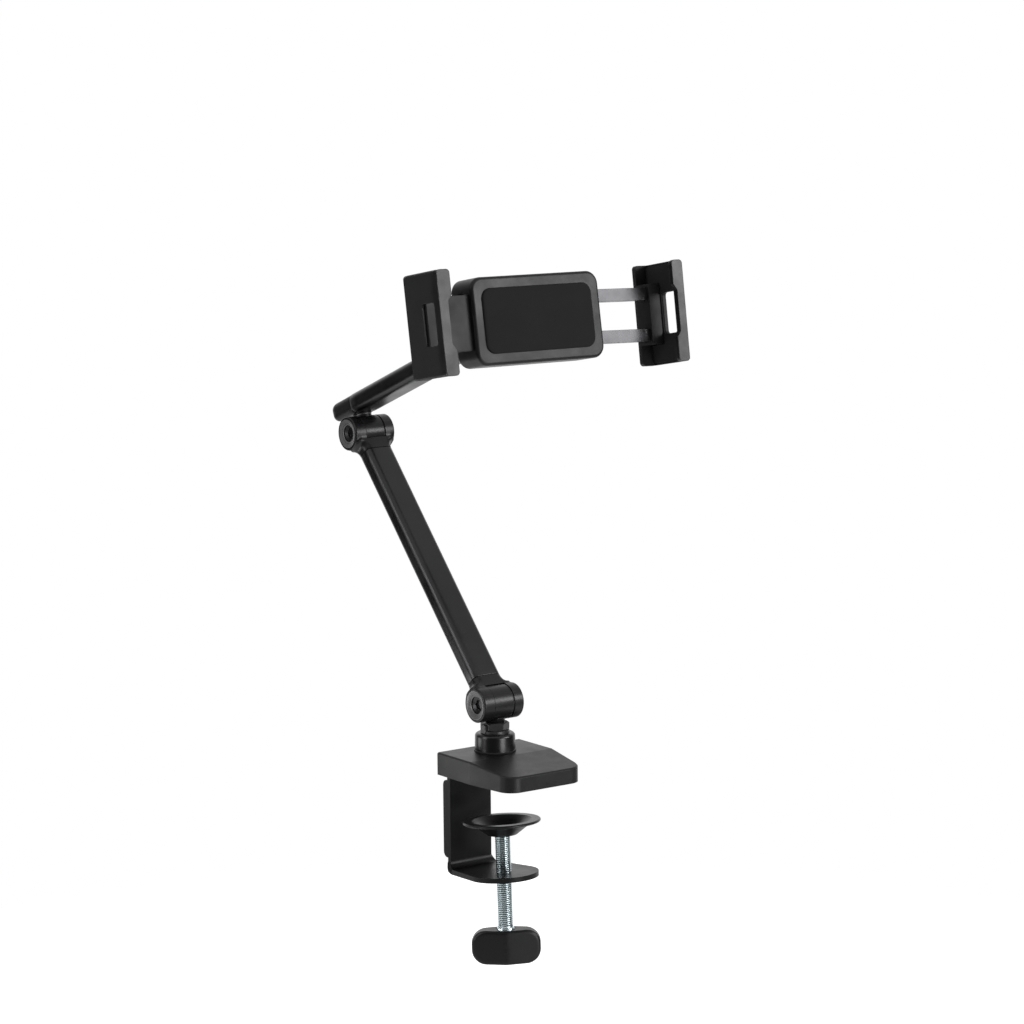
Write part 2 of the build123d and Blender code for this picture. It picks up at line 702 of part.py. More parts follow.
window_reach = housing_half_width + 5
window_low = rail_back - rail_play
window_high = rail_front + rail_play
rail_windows = [
    slide_turn * rail_block(-window_reach, window_reach, side, rail_play, window_low, window_high)
    for side in (-1, 1)
]
back_floor = back_gap + housing_wall
shoe_top = rail_back - rail_play / 2
shoe_low = shoe_top - shoe_thickness
back_shell = shell(back_gap, housing_split, True)
for x, y in shell_screw_places:
    back_shell += Pos(x, y, 0) * disc(flat, screw_boss_radius, back_floor - 0.5, housing_split)
guide_end = housing_half_width - 1.5
for side in (-1, 1):
    shoe_side = lock_knob_x - shoe_length / 2 - 1.5
    back_shell += rail_block(-guide_end, shoe_side, side, -0.5, back_floor - 0.5, window_low)
back_shell += disc(flat, plain_washer_diameter / 2 + 1, back_gap + 1, boss_top)
lock_boss_top = shoe_low - 0.4
lock_bore = lock_screw_diameter / 2 + running_gap
back_shell += Pos(lock_knob_x, 0, 0) * disc(flat, lock_bore + 3, back_gap + 1, lock_boss_top)
for window in rail_windows:
    back_shell -= window
back_shell -= disc(flat, spindle_bore / 2, back_gap - 1, boss_top + 1)
back_shell -= Pos(lock_knob_x, 0, 0) * disc(flat, lock_bore, back_gap - 1, lock_boss_top + 1)
for x, y in shell_screw_places:
    back_shell -= Pos(x, y, 0) * disc(flat, small_screw / 2 + 0.1, back_gap - 1, housing_split + 1)
    back_shell -= Pos(x, y, 0) * disc(flat, screw_seat_radius, back_gap - 1, back_gap + 3)
save("holder_back_shell", holder_frame * one(back_shell))

front_shell = shell(housing_split, housing_front, False)
front_roof = housing_front - housing_wall
roof_root = front_roof + 0.5
for x, y in shell_screw_places:
    front_shell += Pos(x, y, 0) * disc(flat, screw_boss_radius, housing_split, roof_root)
web_inner_x = -housing_half_width + web_reach
for side in (-1, 1):
    front_shell += rail_block(web_inner_x + 2, guide_end, side, -0.5, window_high, roof_root)
web_screw_places = [(-housing_half_width + along, 0) for along in (5.5, 12.5)]
web_block_half = web_half_height - 3
front_shell += box(flat, -guide_end, web_inner_x, -web_block_half, web_block_half, web_front, roof_root)
for window in rail_windows:
    front_shell -= window
web_slot_half = web_half_height + 0.2
web_slot_end = web_inner_x + 0.3
front_shell -= box(flat, -window_reach, web_slot_end, -web_slot_half, web_slot_half, web_back - 0.4, web_front)
core_radius = small_screw_core / 2
for x, y in shell_screw_places:
    front_shell -= Pos(x, y, 0) * disc(flat, core_radius, housing_split - 1, front_roof - 1)
for x, y in web_screw_places:
    front_shell -= Pos(x, y, 0) * disc(flat, core_radius, web_front - 1, housing_front - 0.8)
save("holder_front_shell", holder_frame * one(front_shell))

shell_screws = []
for x, y in shell_screw_places:
    screw = disc(flat, small_screw_head / 2, back_gap + 0.4, back_gap + 3)
    screw += disc(flat, small_screw / 2, back_gap + 2.9, housing_split)
    screw += disc(flat, core_radius, housing_split - 0.1, front_roof - 1.2)
    screw -= hexagon(flat, 2.5, back_gap, back_gap + 1.9)
    shell_screws.append(holder_frame * (Pos(x, y, 0) * one(screw)))
save("housing_screws", *shell_screws)

foam_face = RectangleRounded(2 * housing_half_width - 14, 2 * housing_half_height - 14, 4)
foam = Pos(0, 0, housing_front) * extrude(foam_face, foam_thickness)
foam = fillet(foam.edges().group_by(Axis.Z)[-1], 0.6)
save("holder_foam_pad", holder_frame * one(foam))


# Jaws: a slotted wall with a notched lip in front and a flange behind, drawn for the left and mirrored
def lip_plate(width, inset, low, high):
    """The notched plate of a lip, from the outer face of the wall inwards."""
    half = jaw_height / 2 - inset
    notch_half = lip_notch_half + inset
    inner = width - lip_notch_depth
    points = [
        (0, half),
        (width, half),
        (width, notch_half),
        (inner, notch_half - lip_slant),
        (inner, lip_slant - notch_half),
        (width, -notch_half),
        (width, -half),
        (0, -half),
    ]
    lip = Pos(0, 0, low) * extrude(make_face(Polyline(*points, close=True)), high - low)
    tips = lip.edges().filter_by(Axis.Z)
    lip = fillet(ShapeList([edge for edge in tips if abs(edge.center().Y) > half - 1]), 2.4)
    bends = [edge for edge in lip.edges().filter_by(Axis.Z) if 5 < abs(edge.center().Y) < half - 3]
    return fillet(ShapeList(bends), 1.2)


def jaw_slot(play):
    """The long hole through a jaw wall."""
    middle = (slot_near + slot_far) / 2
    plan = RectangleRounded(2 * (slot_half_height + play), slot_far - slot_near + 2 * play, 2.2 + play)
    return Pos(-1, 0, 0) * extrude(Plane.YZ * (Pos(0, middle) * plan), jaw_wall + liner + 2)


lip_back = axis_to_lip_face - lip_thickness


def jaw_body(outer_x, lip_width, side):
    """The moulded channel. side is -1 on the left, 1 on the right; the channel opens towards the middle."""
    half = jaw_height / 2
    depth = axis_to_lip_face - back_gap
    wall_plan = Plane.YZ * (Pos(0, back_gap + depth / 2) * RectangleRounded(jaw_height, depth, 3.0))
    wall = extrude(wall_plan, jaw_wall)
    wall = fillet(wall.faces().sort_by(Axis.X)[0].edges(), jaw_round)
    lip = lip_plate(lip_width, 0, lip_back, axis_to_lip_face)
    flange = box(flat, 0, back_flange_width, -half, half, back_gap, back_gap + back_flange_thickness)
    flange = fillet(flange.edges().filter_by(Axis.Z), 2.4)
    body = one(wall + lip + flange - jaw_slot(0))
    if side > 0:
        body = body.mirror(Plane.YZ)
    return Pos(outer_x, 0, 0) * body


def jaw_liner(outer_x, lip_width, side):
    """The rubber lining on the inside of the wall and behind the lip."""
    low = back_gap + back_flange_thickness + 0.1
    plan = Plane.YZ * (Pos(0, (low + lip_back) / 2) * RectangleRounded(jaw_height - 3, lip_back - low, 1.5))
    lining = Pos(jaw_wall, 0, 0) * extrude(plan, liner)
    behind_lip = lip_plate(lip_width, 0.3, lip_back - liner, lip_back)
    lining += behind_lip & box(flat, jaw_wall, lip_width, -jaw_height, jaw_height, 0, lip_back)
    lining = one(lining - jaw_slot(0.3))
    if side > 0:
        lining = lining.mirror(Plane.YZ)
    return Pos(outer_x, 0, 0) * lining


def flat_head_screw(low, seat, high):
    """A small screw that points up: head from low to seat, core up to high."""
    screw = disc(flat, small_screw_head / 2, low, seat)
    screw += disc(flat, core_radius, seat - 0.1, high)
    return one(screw - hexagon(flat, 2.2, low - 0.1, low + 1.1))


left_inner_x = left_jaw_outer_x + jaw_wall
web = box(flat, left_inner_x - 0.5, web_inner_x, -web_half_height, web_half_height, web_back, web_front)
web_screw_seat = web_back + 1.9
web_screws = []
for x, y in web_screw_places:
    web -= Pos(x, y, 0) * disc(flat, small_screw / 2 + 0.1, web_back - 1, web_front + 1)
    web -= Pos(x, y, 0) * disc(flat, screw_seat_radius, web_back - 1, web_screw_seat)
    screw = flat_head_screw(web_back + 0.1, web_screw_seat, front_roof + 0.8)
    web_screws.append(holder_frame * (Pos(x, y, 0) * screw))
save("left_jaw", holder_frame * one(jaw_body(left_jaw_outer_x, left_lip_width, -1) + web))
left_lining = jaw_liner(left_jaw_outer_x, left_lip_width, -1)
web_room_half = web_half_height + 0.3
left_lining -= box(
    flat, left_inner_x - 1, left_inner_x + 5, -web_room_half, web_room_half, web_back - 0.3, web_front + 0.3
)
save("left_jaw_liner", holder_frame * one(left_lining))
save("web_screws", *web_screws)

# Sliding jaw on two rails. It hangs by the play of its slide, so the rails run a little out of square
slide_frame = holder_frame * Location((0, 0, 0), (0, 0, -slide_sag_deg))
right_inner_x = right_jaw_outer_x - jaw_wall
block_x = right_inner_x - block_depth
block_half = rail_outer + 2
block_back = back_gap + back_flange_thickness
block_front = rail_front + 2.2
rail_end = block_x + rail_socket
rail_start = rail_end - rail_length
right_jaw = jaw_body(right_jaw_outer_x, right_lip_width, 1)
right_jaw += box(flat, block_x, right_inner_x + 0.5, -block_half, block_half, block_back - 0.5, block_front)
rails = []
rail_screws = []
for side in (-1, 1):
    right_jaw -= rail_block(block_x - 1, rail_end, side, 0, rail_back, rail_front)
    rail = rail_block(rail_start, rail_end, side, 0, rail_back, rail_front)
    place = Pos(rail_end - rail_socket / 2, side * rail_middle, 0)
    right_jaw -= place * disc(flat, small_screw / 2 + 0.1, back_gap - 1, rail_back + 1)
    right_jaw -= place * disc(flat, screw_seat_radius, back_gap - 1, back_gap + 2.4)
    rail -= place * disc(flat, core_radius, rail_back - 1, rail_back + 4.2)
    screw = flat_head_screw(back_gap + 0.4, back_gap + 2.4, rail_back + 4)
    rails.append(slide_frame * one(rail))
    rail_screws.append(slide_frame * (place * screw))
save("right_jaw", slide_frame * one(right_jaw))
right_lining = jaw_liner(right_jaw_outer_x, right_lip_width, 1)
block_room_half = block_half + 0.3
right_lining -= box(
    flat, right_inner_x - 5, right_inner_x + 1, -block_room_half, block_room_half, back_gap, block_front + 0.3
)
save("right_jaw_liner", slide_frame * one(right_lining))
save("jaw_rails", *rails)
save("rail_screws", *rail_screws)

# Brake shoe across both rails, and the lock knob that presses it
shoe_half = rail_outer - 0.3
shoe = box(flat, -shoe_length / 2, shoe_length / 2, -shoe_half, shoe_half, shoe_low, shoe_top)
save("brake_shoe", holder_frame * (Pos(lock_knob_x, 0, 0) * shoe))
knob_top = back_gap - 0.4
knob_low = knob_top - lock_knob_height
lock_knob = disc(flat, lock_knob_diameter / 2, knob_low, knob_top - 2)
lock_knob = fillet(lock_knob.edges().filter_by(GeomType.CIRCLE).group_by(Axis.Z)[0], 1.2)
lock_knob += disc(flat, lock_screw_diameter / 2 + 2.4, knob_top - 2.1, knob_top)
flute_count = 8
flute = Pos(lock_knob_diameter / 2 + 1.2, 0, 0) * disc(flat, 2.2, knob_low - 1, knob_top - 1.9)
for index in range(flute_count):
    lock_knob -= Rot(0, 0, 360 / flute_count * index) * flute
lock_knob -= disc(flat, lock_screw_diameter / 2, knob_low + 3, knob_top + 1)
save("lock_knob", holder_frame * (Pos(lock_knob_x, 0, 0) * one(lock_knob)))
lock_screw = disc(flat, lock_screw_diameter / 2, knob_low + 3, shoe_low - 0.1)
save("lock_screw", holder_frame * (Pos(lock_knob_x, 0, 0) * lock_screw))

# Clamp screw, pressure pad and wing knob, in the frame of the screw
upright = Plane.XY
pad_low = pad_rim_height - pad_height
floor_top_height = pad_low + pad_sheet
rim_radius = pad_rim_diameter / 2
mouth_radius = pad_mouth_diameter / 2
floor_radius = pad_floor_diameter / 2
rim_inner = rim_radius - pad_rim_width
pad_hole_radius = tip_diameter / 2 + tip_gap
pad_points = [
    (pad_hole_radius, pad_low),
    (floor_radius, pad_low),
    (mouth_radius, pad_rim_height - pad_sheet - 2.2),
    (rim_inner + 1.2, pad_rim_height - pad_sheet),
    (rim_radius - 0.5, pad_rim_height - pad_sheet),
    (rim_radius, pad_rim_height - pad_sheet + 0.5),
    (rim_radius, pad_rim_height - 0.5),
    (rim_radius - 0.5, pad_rim_height),
    (rim_inner, pad_rim_height),
    (mouth_radius - 0.9, pad_rim_height - 2.2),
    (floor_radius - 0.9, floor_top_height),
    (pad_hole_radius, floor_top_height),
]
pad_seat = screw_frame.origin + screw_frame.z_dir * pad_low
pad_frame = frame_at(pad_seat - plate_frame.z_dir * pad_low, plate_frame.z_dir)
save("pressure_pad", one(turned(pad_frame, pad_points)))

knob_high = -knob_top_depth
knob_floor = knob_high - knob_height
shoulder = pad_low - tip_gap
rod_low = knob_floor + 4.0
tip_head_low = floor_top_height + tip_head_gap
collar_low = knob_high - knob_dish_depth
rod = disc(upright, screw_diameter / 2, rod_low, shoulder)
rod = chamfer(rod.edges().filter_by(GeomType.CIRCLE).group_by(Axis.Z)[-1], 0.6)
rod += disc(upright, tip_diameter / 2, shoulder - 1, tip_head_low + 0.1)
rod += disc(upright, tip_head_diameter / 2, tip_head_low, tip_head_low + tip_head_height)
collar = disc(upright, collar_diameter / 2, collar_low, collar_low + collar_height)
rod = one(rod + chamfer(collar.edges().filter_by(GeomType.CIRCLE).group_by(Axis.Z)[-1], 0.5))
pin_frame = frame_at((0, 0, knob_floor + knob_height * 0.55), (1, 0, 0), (0, 0, 1))
pin_half = knob_thickness / 2 - 1.6
pin = disc(pin_frame, pin_diameter / 2, -pin_half, pin_half)

half_width = knob_width / 2
knob_edge_margin = 0.01
knob_plan = make_face(
    Polyline(
        (-half_width, -knob_end_thickness / 2),
        (0, -knob_thickness / 2),
        (half_width, -knob_end_thickness / 2),
        (half_width, knob_end_thickness / 2),
        (0, knob_thickness / 2),
        (-half_width, knob_end_thickness / 2),
        close=True,
    )
)
wing = Pos(0, 0, knob_floor) * extrude(knob_plan, knob_height)
end_edges = [edge for edge in wing.edges().filter_by(Axis.Z) if abs(edge.center().X) > half_width - 0.1]
wing = fillet(ShapeList(end_edges), 2.6)
ridge_edges = [edge for edge in wing.edges().filter_by(Axis.Z) if abs(edge.center().X) < 0.1]
wing = fillet(ShapeList(ridge_edges), 2.0)
side_view = Plane.XZ * (
    Pos(0, knob_floor + knob_height / 2)
    * RectangleRounded(knob_width + knob_edge_margin, knob_height + knob_edge_margin, knob_corner)
)
wing &= extrude(side_view, knob_thickness, both=True)
wing -= cone(upright, knob_dish / 2 - knob_dish_depth * 0.6, knob_dish / 2, collar_low, knob_high + 0.01)
wing -= disc(upright, screw_diameter / 2, rod_low, knob_high + 1)
knob_turn = Rot(0, 0, knob_turn_deg)
save("clamp_screw", screw_frame * (knob_turn * one(rod - pin)))
save("clamp_knob", screw_frame * (knob_turn * one(wing - pin)))
save("knob_pin", screw_frame * (knob_turn * pin))
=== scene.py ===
import math

import bpy
import numpy as np
from mathutils import Matrix, Vector


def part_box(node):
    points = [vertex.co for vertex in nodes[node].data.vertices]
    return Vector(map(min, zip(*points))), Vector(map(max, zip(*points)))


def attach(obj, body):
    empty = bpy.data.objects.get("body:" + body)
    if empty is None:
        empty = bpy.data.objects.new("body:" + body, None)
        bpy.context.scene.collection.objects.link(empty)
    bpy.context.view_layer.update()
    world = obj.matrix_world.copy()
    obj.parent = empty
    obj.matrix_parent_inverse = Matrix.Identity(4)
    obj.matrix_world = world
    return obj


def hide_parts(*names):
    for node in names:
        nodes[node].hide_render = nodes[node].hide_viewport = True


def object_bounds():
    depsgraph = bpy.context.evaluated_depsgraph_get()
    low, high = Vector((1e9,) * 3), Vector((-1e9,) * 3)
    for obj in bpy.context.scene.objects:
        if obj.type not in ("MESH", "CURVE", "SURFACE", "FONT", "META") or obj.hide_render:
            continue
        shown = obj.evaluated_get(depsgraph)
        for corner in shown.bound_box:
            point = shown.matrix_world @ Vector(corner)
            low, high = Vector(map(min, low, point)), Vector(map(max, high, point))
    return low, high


# Tablet clamp mount. Metres, in the frame of the construction model: origin on the swivel axis in the
# plane of the desk top, X along the pivots, -Y towards the user, +Z up.
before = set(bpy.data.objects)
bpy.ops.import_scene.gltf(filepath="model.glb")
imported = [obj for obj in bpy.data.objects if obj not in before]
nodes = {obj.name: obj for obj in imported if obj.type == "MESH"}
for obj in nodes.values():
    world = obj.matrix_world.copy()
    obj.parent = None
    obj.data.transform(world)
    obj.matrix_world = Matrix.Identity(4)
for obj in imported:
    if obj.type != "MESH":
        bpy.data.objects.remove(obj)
cad_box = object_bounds()
MM = 0.001


# Camera, at the viewing angle of the photograph
camera_azimuth = math.radians(-35.61)
camera_pitch = math.radians(8.28)
camera_roll = math.radians(-0.53)
camera_place = Vector((-1.1197, -1.5842, 0.4508))
camera_lens = 109.56


def aim_camera():
    """The camera's axes are turned by the azimuth, then pitched down, then rolled about its line of
    sight."""
    back = Vector((
        math.sin(camera_azimuth) * math.cos(camera_pitch),
        -math.cos(camera_azimuth) * math.cos(camera_pitch),
        math.sin(camera_pitch),
    ))
    right = Vector((math.cos(camera_azimuth), math.sin(camera_azimuth), 0))
    up = back.cross(right)
    turned_right = right * math.cos(camera_roll) + up * math.sin(camera_roll)
    turned_up = up * math.cos(camera_roll) - right * math.sin(camera_roll)
    data = bpy.data.cameras.new("photo_camera")
    data.lens = camera_lens
    data.sensor_width = 36
    data.clip_end = 20
    camera = bpy.data.objects.new("photo_camera", data)
    turn = Matrix((turned_right, turned_up, back)).transposed()
    camera.matrix_world = Matrix.Translation(camera_place) @ turn.to_4x4()
    bpy.context.scene.collection.objects.link(camera)
    bpy.context.scene.camera = camera


# Light
def soft_box(name, place, target, width, height, power):
    """A rectangular lamp that faces its target and doesn't show itself to the camera."""
    data = bpy.data.lights.new(name, "AREA")
    data.shape = "RECTANGLE"
    data.size = width
    data.size_y = height
    data.energy = power
    lamp = bpy.data.objects.new(name, data)
    lamp.location = place
    lamp.visible_camera = False
    lamp.rotation_euler = (Vector(target) - Vector(place)).to_track_quat("-Z", "Y").to_euler()
    bpy.context.scene.collection.objects.link(lamp)


def add(tree, kind, **inputs):
    """A node with its inputs set by name; a value that is a socket is linked."""
    node = tree.nodes.new(kind)
    for name, value in inputs.items():
        socket = node.inputs[name.replace("_", " ")]
        if isinstance(value, bpy.types.NodeSocket):
            tree.links.new(value, socket)
        else:
            socket.default_value = value
    return node


def maths(tree, operation, first, second):
    """The result of a sum on two numbers or sockets."""
    node = tree.nodes.new("ShaderNodeMath")
    node.operation = operation
    for socket, value in zip(node.inputs, (first, second)):
        if isinstance(value, bpy.types.NodeSocket):
            tree.links.new(value, socket)
        else:
            socket.default_value = value
    return node.outputs[0]


plain_level = 0.65
studio_level, studio_top = 0.035, 0.60
studio_low, studio_high = 0.25, 0.85
backdrop_level = 1.0
backdrop_heading = (math.sin(-camera_azimuth), math.cos(camera_azimuth), 0)
backdrop_edge = math.cos(math.radians(62))
backdrop_full = math.cos(math.radians(36))


def ramp(tree, value, start, end, low, high, kind="SMOOTHSTEP"):
    """The value carried from the span start..end to low..high, held at both ends."""
    node = tree.nodes.new("ShaderNodeMapRange")
    node.interpolation_type = kind
    tree.links.new(value, node.inputs["Value"])
    for name, number in (("From Min", start), ("From Max", end), ("To Min", low), ("To Max", high)):
        node.inputs[name].default_value = number
    return node.outputs[0]


def light_world():
    """White to the camera. Plain surfaces are lit evenly. Gloss shows a pale backdrop behind the
    object, within the backdrop's edges, and a dark studio round it that grows paler overhead."""
    world = bpy.data.worlds.new("studio")
    bpy.context.scene.world = world
    world.use_nodes = True
    world.cycles.sampling_method = "NONE"
    tree = world.node_tree
    tree.nodes.clear()
    heading = tree.nodes.new("ShaderNodeTexCoord").outputs["Generated"]
    ahead = tree.nodes.new("ShaderNodeVectorMath")
    ahead.operation = "DOT_PRODUCT"
    tree.links.new(heading, ahead.inputs[0])
    ahead.inputs[1].default_value = backdrop_heading
    height = add(tree, "ShaderNodeSeparateXYZ", Vector=heading).outputs["Z"]
    backdrop = ramp(tree, ahead.outputs["Value"], backdrop_edge, backdrop_full, 0, backdrop_level)
    studio_room = ramp(tree, height, studio_low, studio_high, studio_level, studio_top)
    room = maths(tree, "MAXIMUM", studio_room, backdrop)
    path = tree.nodes.new("ShaderNodeLightPath")
    plain = maths(tree, "MULTIPLY", path.outputs["Is Diffuse Ray"], plain_level)
    gloss = maths(tree, "MULTIPLY", maths(tree, "SUBTRACT", 1.0, path.outputs["Is Diffuse Ray"]), room)
    shown = maths(tree, "MAXIMUM", path.outputs["Is Camera Ray"], path.outputs["Is Transmission Ray"])
    strength = maths(tree, "ADD", plain, gloss)
    studio = add(tree, "ShaderNodeBackground", Color=(1, 1, 1, 1), Strength=strength)
    white = add(tree, "ShaderNodeBackground", Color=(1, 1, 1, 1), Strength=1.0)
    mix = tree.nodes.new("ShaderNodeMixShader")
    tree.links.new(shown, mix.inputs[0])
    tree.links.new(studio.outputs[0], mix.inputs[1])
    tree.links.new(white.outputs[0], mix.inputs[2])
    out = tree.nodes.new("ShaderNodeOutputWorld")
    tree.links.new(mix.outputs[0], out.inputs[0])


floor_gap, floor_reach = 120 * MM, 0.7
floor_glow, floor_sheen = 0.80, 0.10
floor_grey = 0.8
floor_rings, floor_points = 9, 49
floor_first_share = 0.02


def lay_floor(low):
    """A round pale floor well under the knob: rings of points, whose radii are even shares of the
    reach."""
    angle = np.linspace(0, 2 * math.pi, floor_points)
    radius = np.linspace(floor_first_share, 1, floor_rings)[:, None] * floor_reach
    height = np.full((floor_rings, floor_points), low)
    points = np.stack([radius * np.cos(angle), radius * np.sin(angle), height], axis=-1)
    mesh = sheet_mesh("floor", points)
    mesh.flip_normals()
    floor = bpy.data.objects.new("floor", mesh)
    bpy.context.scene.collection.objects.link(floor)
    material = bpy.data.materials.new("pale_floor")
    material.use_nodes = True
    tree = material.node_tree
    tree.nodes.clear()
    path = tree.nodes.new("ShaderNodeLightPath")
    seen = maths(tree, "MAXIMUM", path.outputs["Is Camera Ray"], path.outputs["Is Transmission Ray"])
    sheen = maths(tree, "MULTIPLY", path.outputs["Is Glossy Ray"], floor_sheen)
    glow = maths(tree, "ADD", maths(tree, "MULTIPLY", seen, floor_glow), sheen)
    shade = add(tree, "ShaderNodeBsdfDiffuse", Color=(floor_grey, floor_grey, floor_grey, 1))
    light = add(tree, "ShaderNodeEmission", Color=(1, 1, 1, 1), Strength=glow)
    both = tree.nodes.new("ShaderNodeAddShader")
    tree.links.new(shade.outputs[0], both.inputs[0])
    tree.links.new(light.outputs[0], both.inputs[1])
    out = tree.nodes.new("ShaderNodeOutputMaterial")
    tree.links.new(both.outputs[0], out.inputs[0])
    mesh.materials.append(material)


# Meshes from grids of points
def grid_faces(rows, columns, wrap_rows, wrap_columns):
    """The quads of a grid, as rows of four point numbers; a wrapped direction closes on itself."""
    i = np.arange(rows if wrap_rows else rows - 1)[:, None]
    j = np.arange(columns if wrap_columns else columns - 1)[None, :]
    down = (i + 1) % rows
    along = (j + 1) % columns
    corners = [i * columns + j, i * columns + along, down * columns + along, down * columns + j]
    return np.stack([np.broadcast_to(c, (i.size, j.size)).ravel() for c in corners], axis=-1)


def sheet_mesh(name, points):
    """An open sheet from a grid of points."""
    mesh = bpy.data.meshes.new(name)
    rows, columns = points.shape[:2]
    mesh.from_pydata(points.reshape(-1, 3), [], grid_faces(rows, columns, False, False))
    return mesh


def body_mesh(name, rings, hollow=False, crease=40):
    """A closed body from rings of points. Each ring closes on itself. A solid body ends in a fan of
    triangles about the middle of its first and last ring; a hollow one joins its last ring to its
    first."""
    rows, columns = rings.shape[:2]
    points = rings.reshape(-1, 3)
    quads = grid_faces(rows, columns, hollow, True)
    faces, triangles = quads.tolist(), np.concatenate([quads[:, [0, 1, 2]], quads[:, [0, 2, 3]]])
    if not hollow:
        middles = np.stack([rings[0].mean(axis=0), rings[-1].mean(axis=0)])
        points = np.concatenate([points, middles])
        here = np.arange(columns)
        after = (here + 1) % columns
        last = (rows - 1) * columns
        top = np.full(columns, rows * columns)
        fans = np.concatenate([
            np.stack([top, after, here], axis=-1),
            np.stack([top + 1, last + here, last + after], axis=-1),
        ])
        faces += fans.tolist()
        triangles = np.concatenate([triangles, fans])
    mesh = bpy.data.meshes.new(name)
    mesh.from_pydata(points, [], faces)
    if signed_volume(points, triangles) < 0:
        mesh.flip_normals()
    mesh.shade_smooth()
    mesh.set_sharp_from_angle(angle=math.radians(crease))
    return mesh


def signed_volume(points, triangles):
    """Six times the volume that the triangles enclose: positive when they point outwards."""
    a, b, c = (points[triangles[:, k]] for k in range(3))
    return float(np.einsum("ij,ij->i", a, np.cross(b, c)).sum())


def placed(points, place):
    """Points in a piece's own frame carried into the frame of the model."""
    turn = np.array(place)
    return points @ turn[:3, :3].T + turn[:3, 3]


def along_axis(origin, z_axis, x_hint=(1, 0, 0)):
    """A frame with its Z along the axis and its X as near the hint as it can be."""
    z = Vector(z_axis).normalized()
    x = Vector(x_hint) - z * Vector(x_hint).dot(z)
    x.normalize()
    turn = Matrix((x, z.cross(x), z)).transposed()
    return Matrix.Translation(origin) @ turn.to_4x4()


def reach(node, place):
    """Lowest and highest coordinates of a node in a frame."""
    mesh = nodes[node].data
    points = np.zeros(len(mesh.vertices) * 3)
    mesh.vertices.foreach_get("co", points)
    local = placed(points.reshape(-1, 3), place.inverted())
    return local.min(axis=0), local.max(axis=0)


def middle(node):
    """The middle of a node's box."""
    low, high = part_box(node)
    return (low + high) / 2


def turned(name, place, profile, around=96, hollow=False, crease=40):
    """A body of revolution: each (radius, height) of the profile is carried round the frame's Z."""
    angle = np.linspace(0, 2 * math.pi, around, endpoint=False)
    radius, height = np.array(profile, float).T
    rings = np.stack([
        radius[:, None] * np.cos(angle),
        radius[:, None] * np.sin(angle),
        np.broadcast_to(height[:, None], (len(height), around)),
    ], axis=-1)
    return body_mesh(name, placed(rings, place), hollow, crease)


def piece(mesh, body, material, *stands_for):
    """An object with a finish that rides on a body and stands for the named nodes."""
    item = bpy.data.objects.new(mesh.name, mesh)
    bpy.context.scene.collection.objects.link(item)
    mesh.materials.append(material)
    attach(item, body)
    if stands_for:
        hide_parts(*stands_for)
    return item


# Finishes
holder_normal = Vector((0, -0.98629, 0.16505))
tilt_pivot = Vector((0, -16.580, 288.423)) * MM
lip_depth = 48.3 * MM
grain_detail, grain_roughness = 3.0, 0.6
cloud_scale, cloud_detail, cloud_roughness = 45.0, 4.0, 0.65
cloud_low, cloud_high = 0.3, 0.7
roughness_spread, mottle = 0.06, 0.15
recess_start, recess_end = 9 * MM, 3.2 * MM


def finish(
    name, colour, roughness, grain, depth, specular=0.5, metal=0.0, edge=0.35,
    groove_shade_colour=None, recess=None,
):
    """A finish with softened edges, a fine grain in the bump, and a cloudy roughness and shade.

    grain is the size of the grain in metres, depth the height of its bump, edge the radius in
    millimetres to which sharp edges are softened. The groove colour is painted shade that darkens a
    thread's grooves by the depth of each point's groove. recess is the roughness deep in a jaw, behind
    the plane of its lips."""
    material = bpy.data.materials.new(name)
    material.use_nodes = True
    tree = material.node_tree
    shader = tree.nodes["Principled BSDF"]
    shader.inputs["Metallic"].default_value = metal
    shader.inputs["Specular IOR Level"].default_value = specular
    place = tree.nodes.new("ShaderNodeTexCoord").outputs["Object"]
    fine = add(
        tree, "ShaderNodeTexNoise",
        Vector=place, Scale=1 / grain, Detail=grain_detail, Roughness=grain_roughness,
    )
    bump = add(tree, "ShaderNodeBump", Height=fine.outputs[0], Distance=depth, Strength=1.0)
    if edge:
        soft = tree.nodes.new("ShaderNodeBevel")
        soft.samples = 4
        soft.inputs["Radius"].default_value = edge * MM
        tree.links.new(soft.outputs[0], bump.inputs["Normal"])
    tree.links.new(bump.outputs[0], shader.inputs["Normal"])
    cloud = add(
        tree, "ShaderNodeTexNoise",
        Vector=place, Scale=cloud_scale, Detail=cloud_detail, Roughness=cloud_roughness,
    ).outputs[0]
    low, high = roughness - roughness_spread, roughness + roughness_spread
    roughness_here = ramp(tree, cloud, cloud_low, cloud_high, low, high, "LINEAR")
    if recess:
        forward = tree.nodes.new("ShaderNodeVectorMath")
        forward.operation = "DOT_PRODUCT"
        tree.links.new(place, forward.inputs[0])
        forward.inputs[1].default_value = holder_normal
        lips = holder_normal.dot(tilt_pivot) + lip_depth
        start, end = lips - recess_start, lips - recess_end
        deep = ramp(tree, forward.outputs["Value"], start, end, recess - roughness, 0)
        roughness_here = maths(tree, "ADD", roughness_here, deep)
    tree.links.new(roughness_here, shader.inputs["Roughness"])
    tint = tree.nodes.new("ShaderNodeVectorMath")
    tint.operation = "SCALE"
    tint.inputs[0].default_value = colour
    tree.links.new(ramp(tree, cloud, 0, 1, 1 - mottle, 1 + mottle, "LINEAR"), tint.inputs["Scale"])
    base = tint.outputs[0]
    # Painted shade: a thread's grooves are darkened by the depth of each point's groove
    if groove_shade_colour:
        held = tree.nodes.new("ShaderNodeAttribute")
        held.attribute_name = "groove"
        fill = tree.nodes.new("ShaderNodeMix")
        fill.data_type = "RGBA"
        tree.links.new(held.outputs["Fac"], fill.inputs["Factor"])
        tree.links.new(base, fill.inputs["A"])
        fill.inputs["B"].default_value = groove_shade_colour
        base = fill.outputs["Result"]
    tree.links.new(base, shader.inputs["Base Color"])
    return material


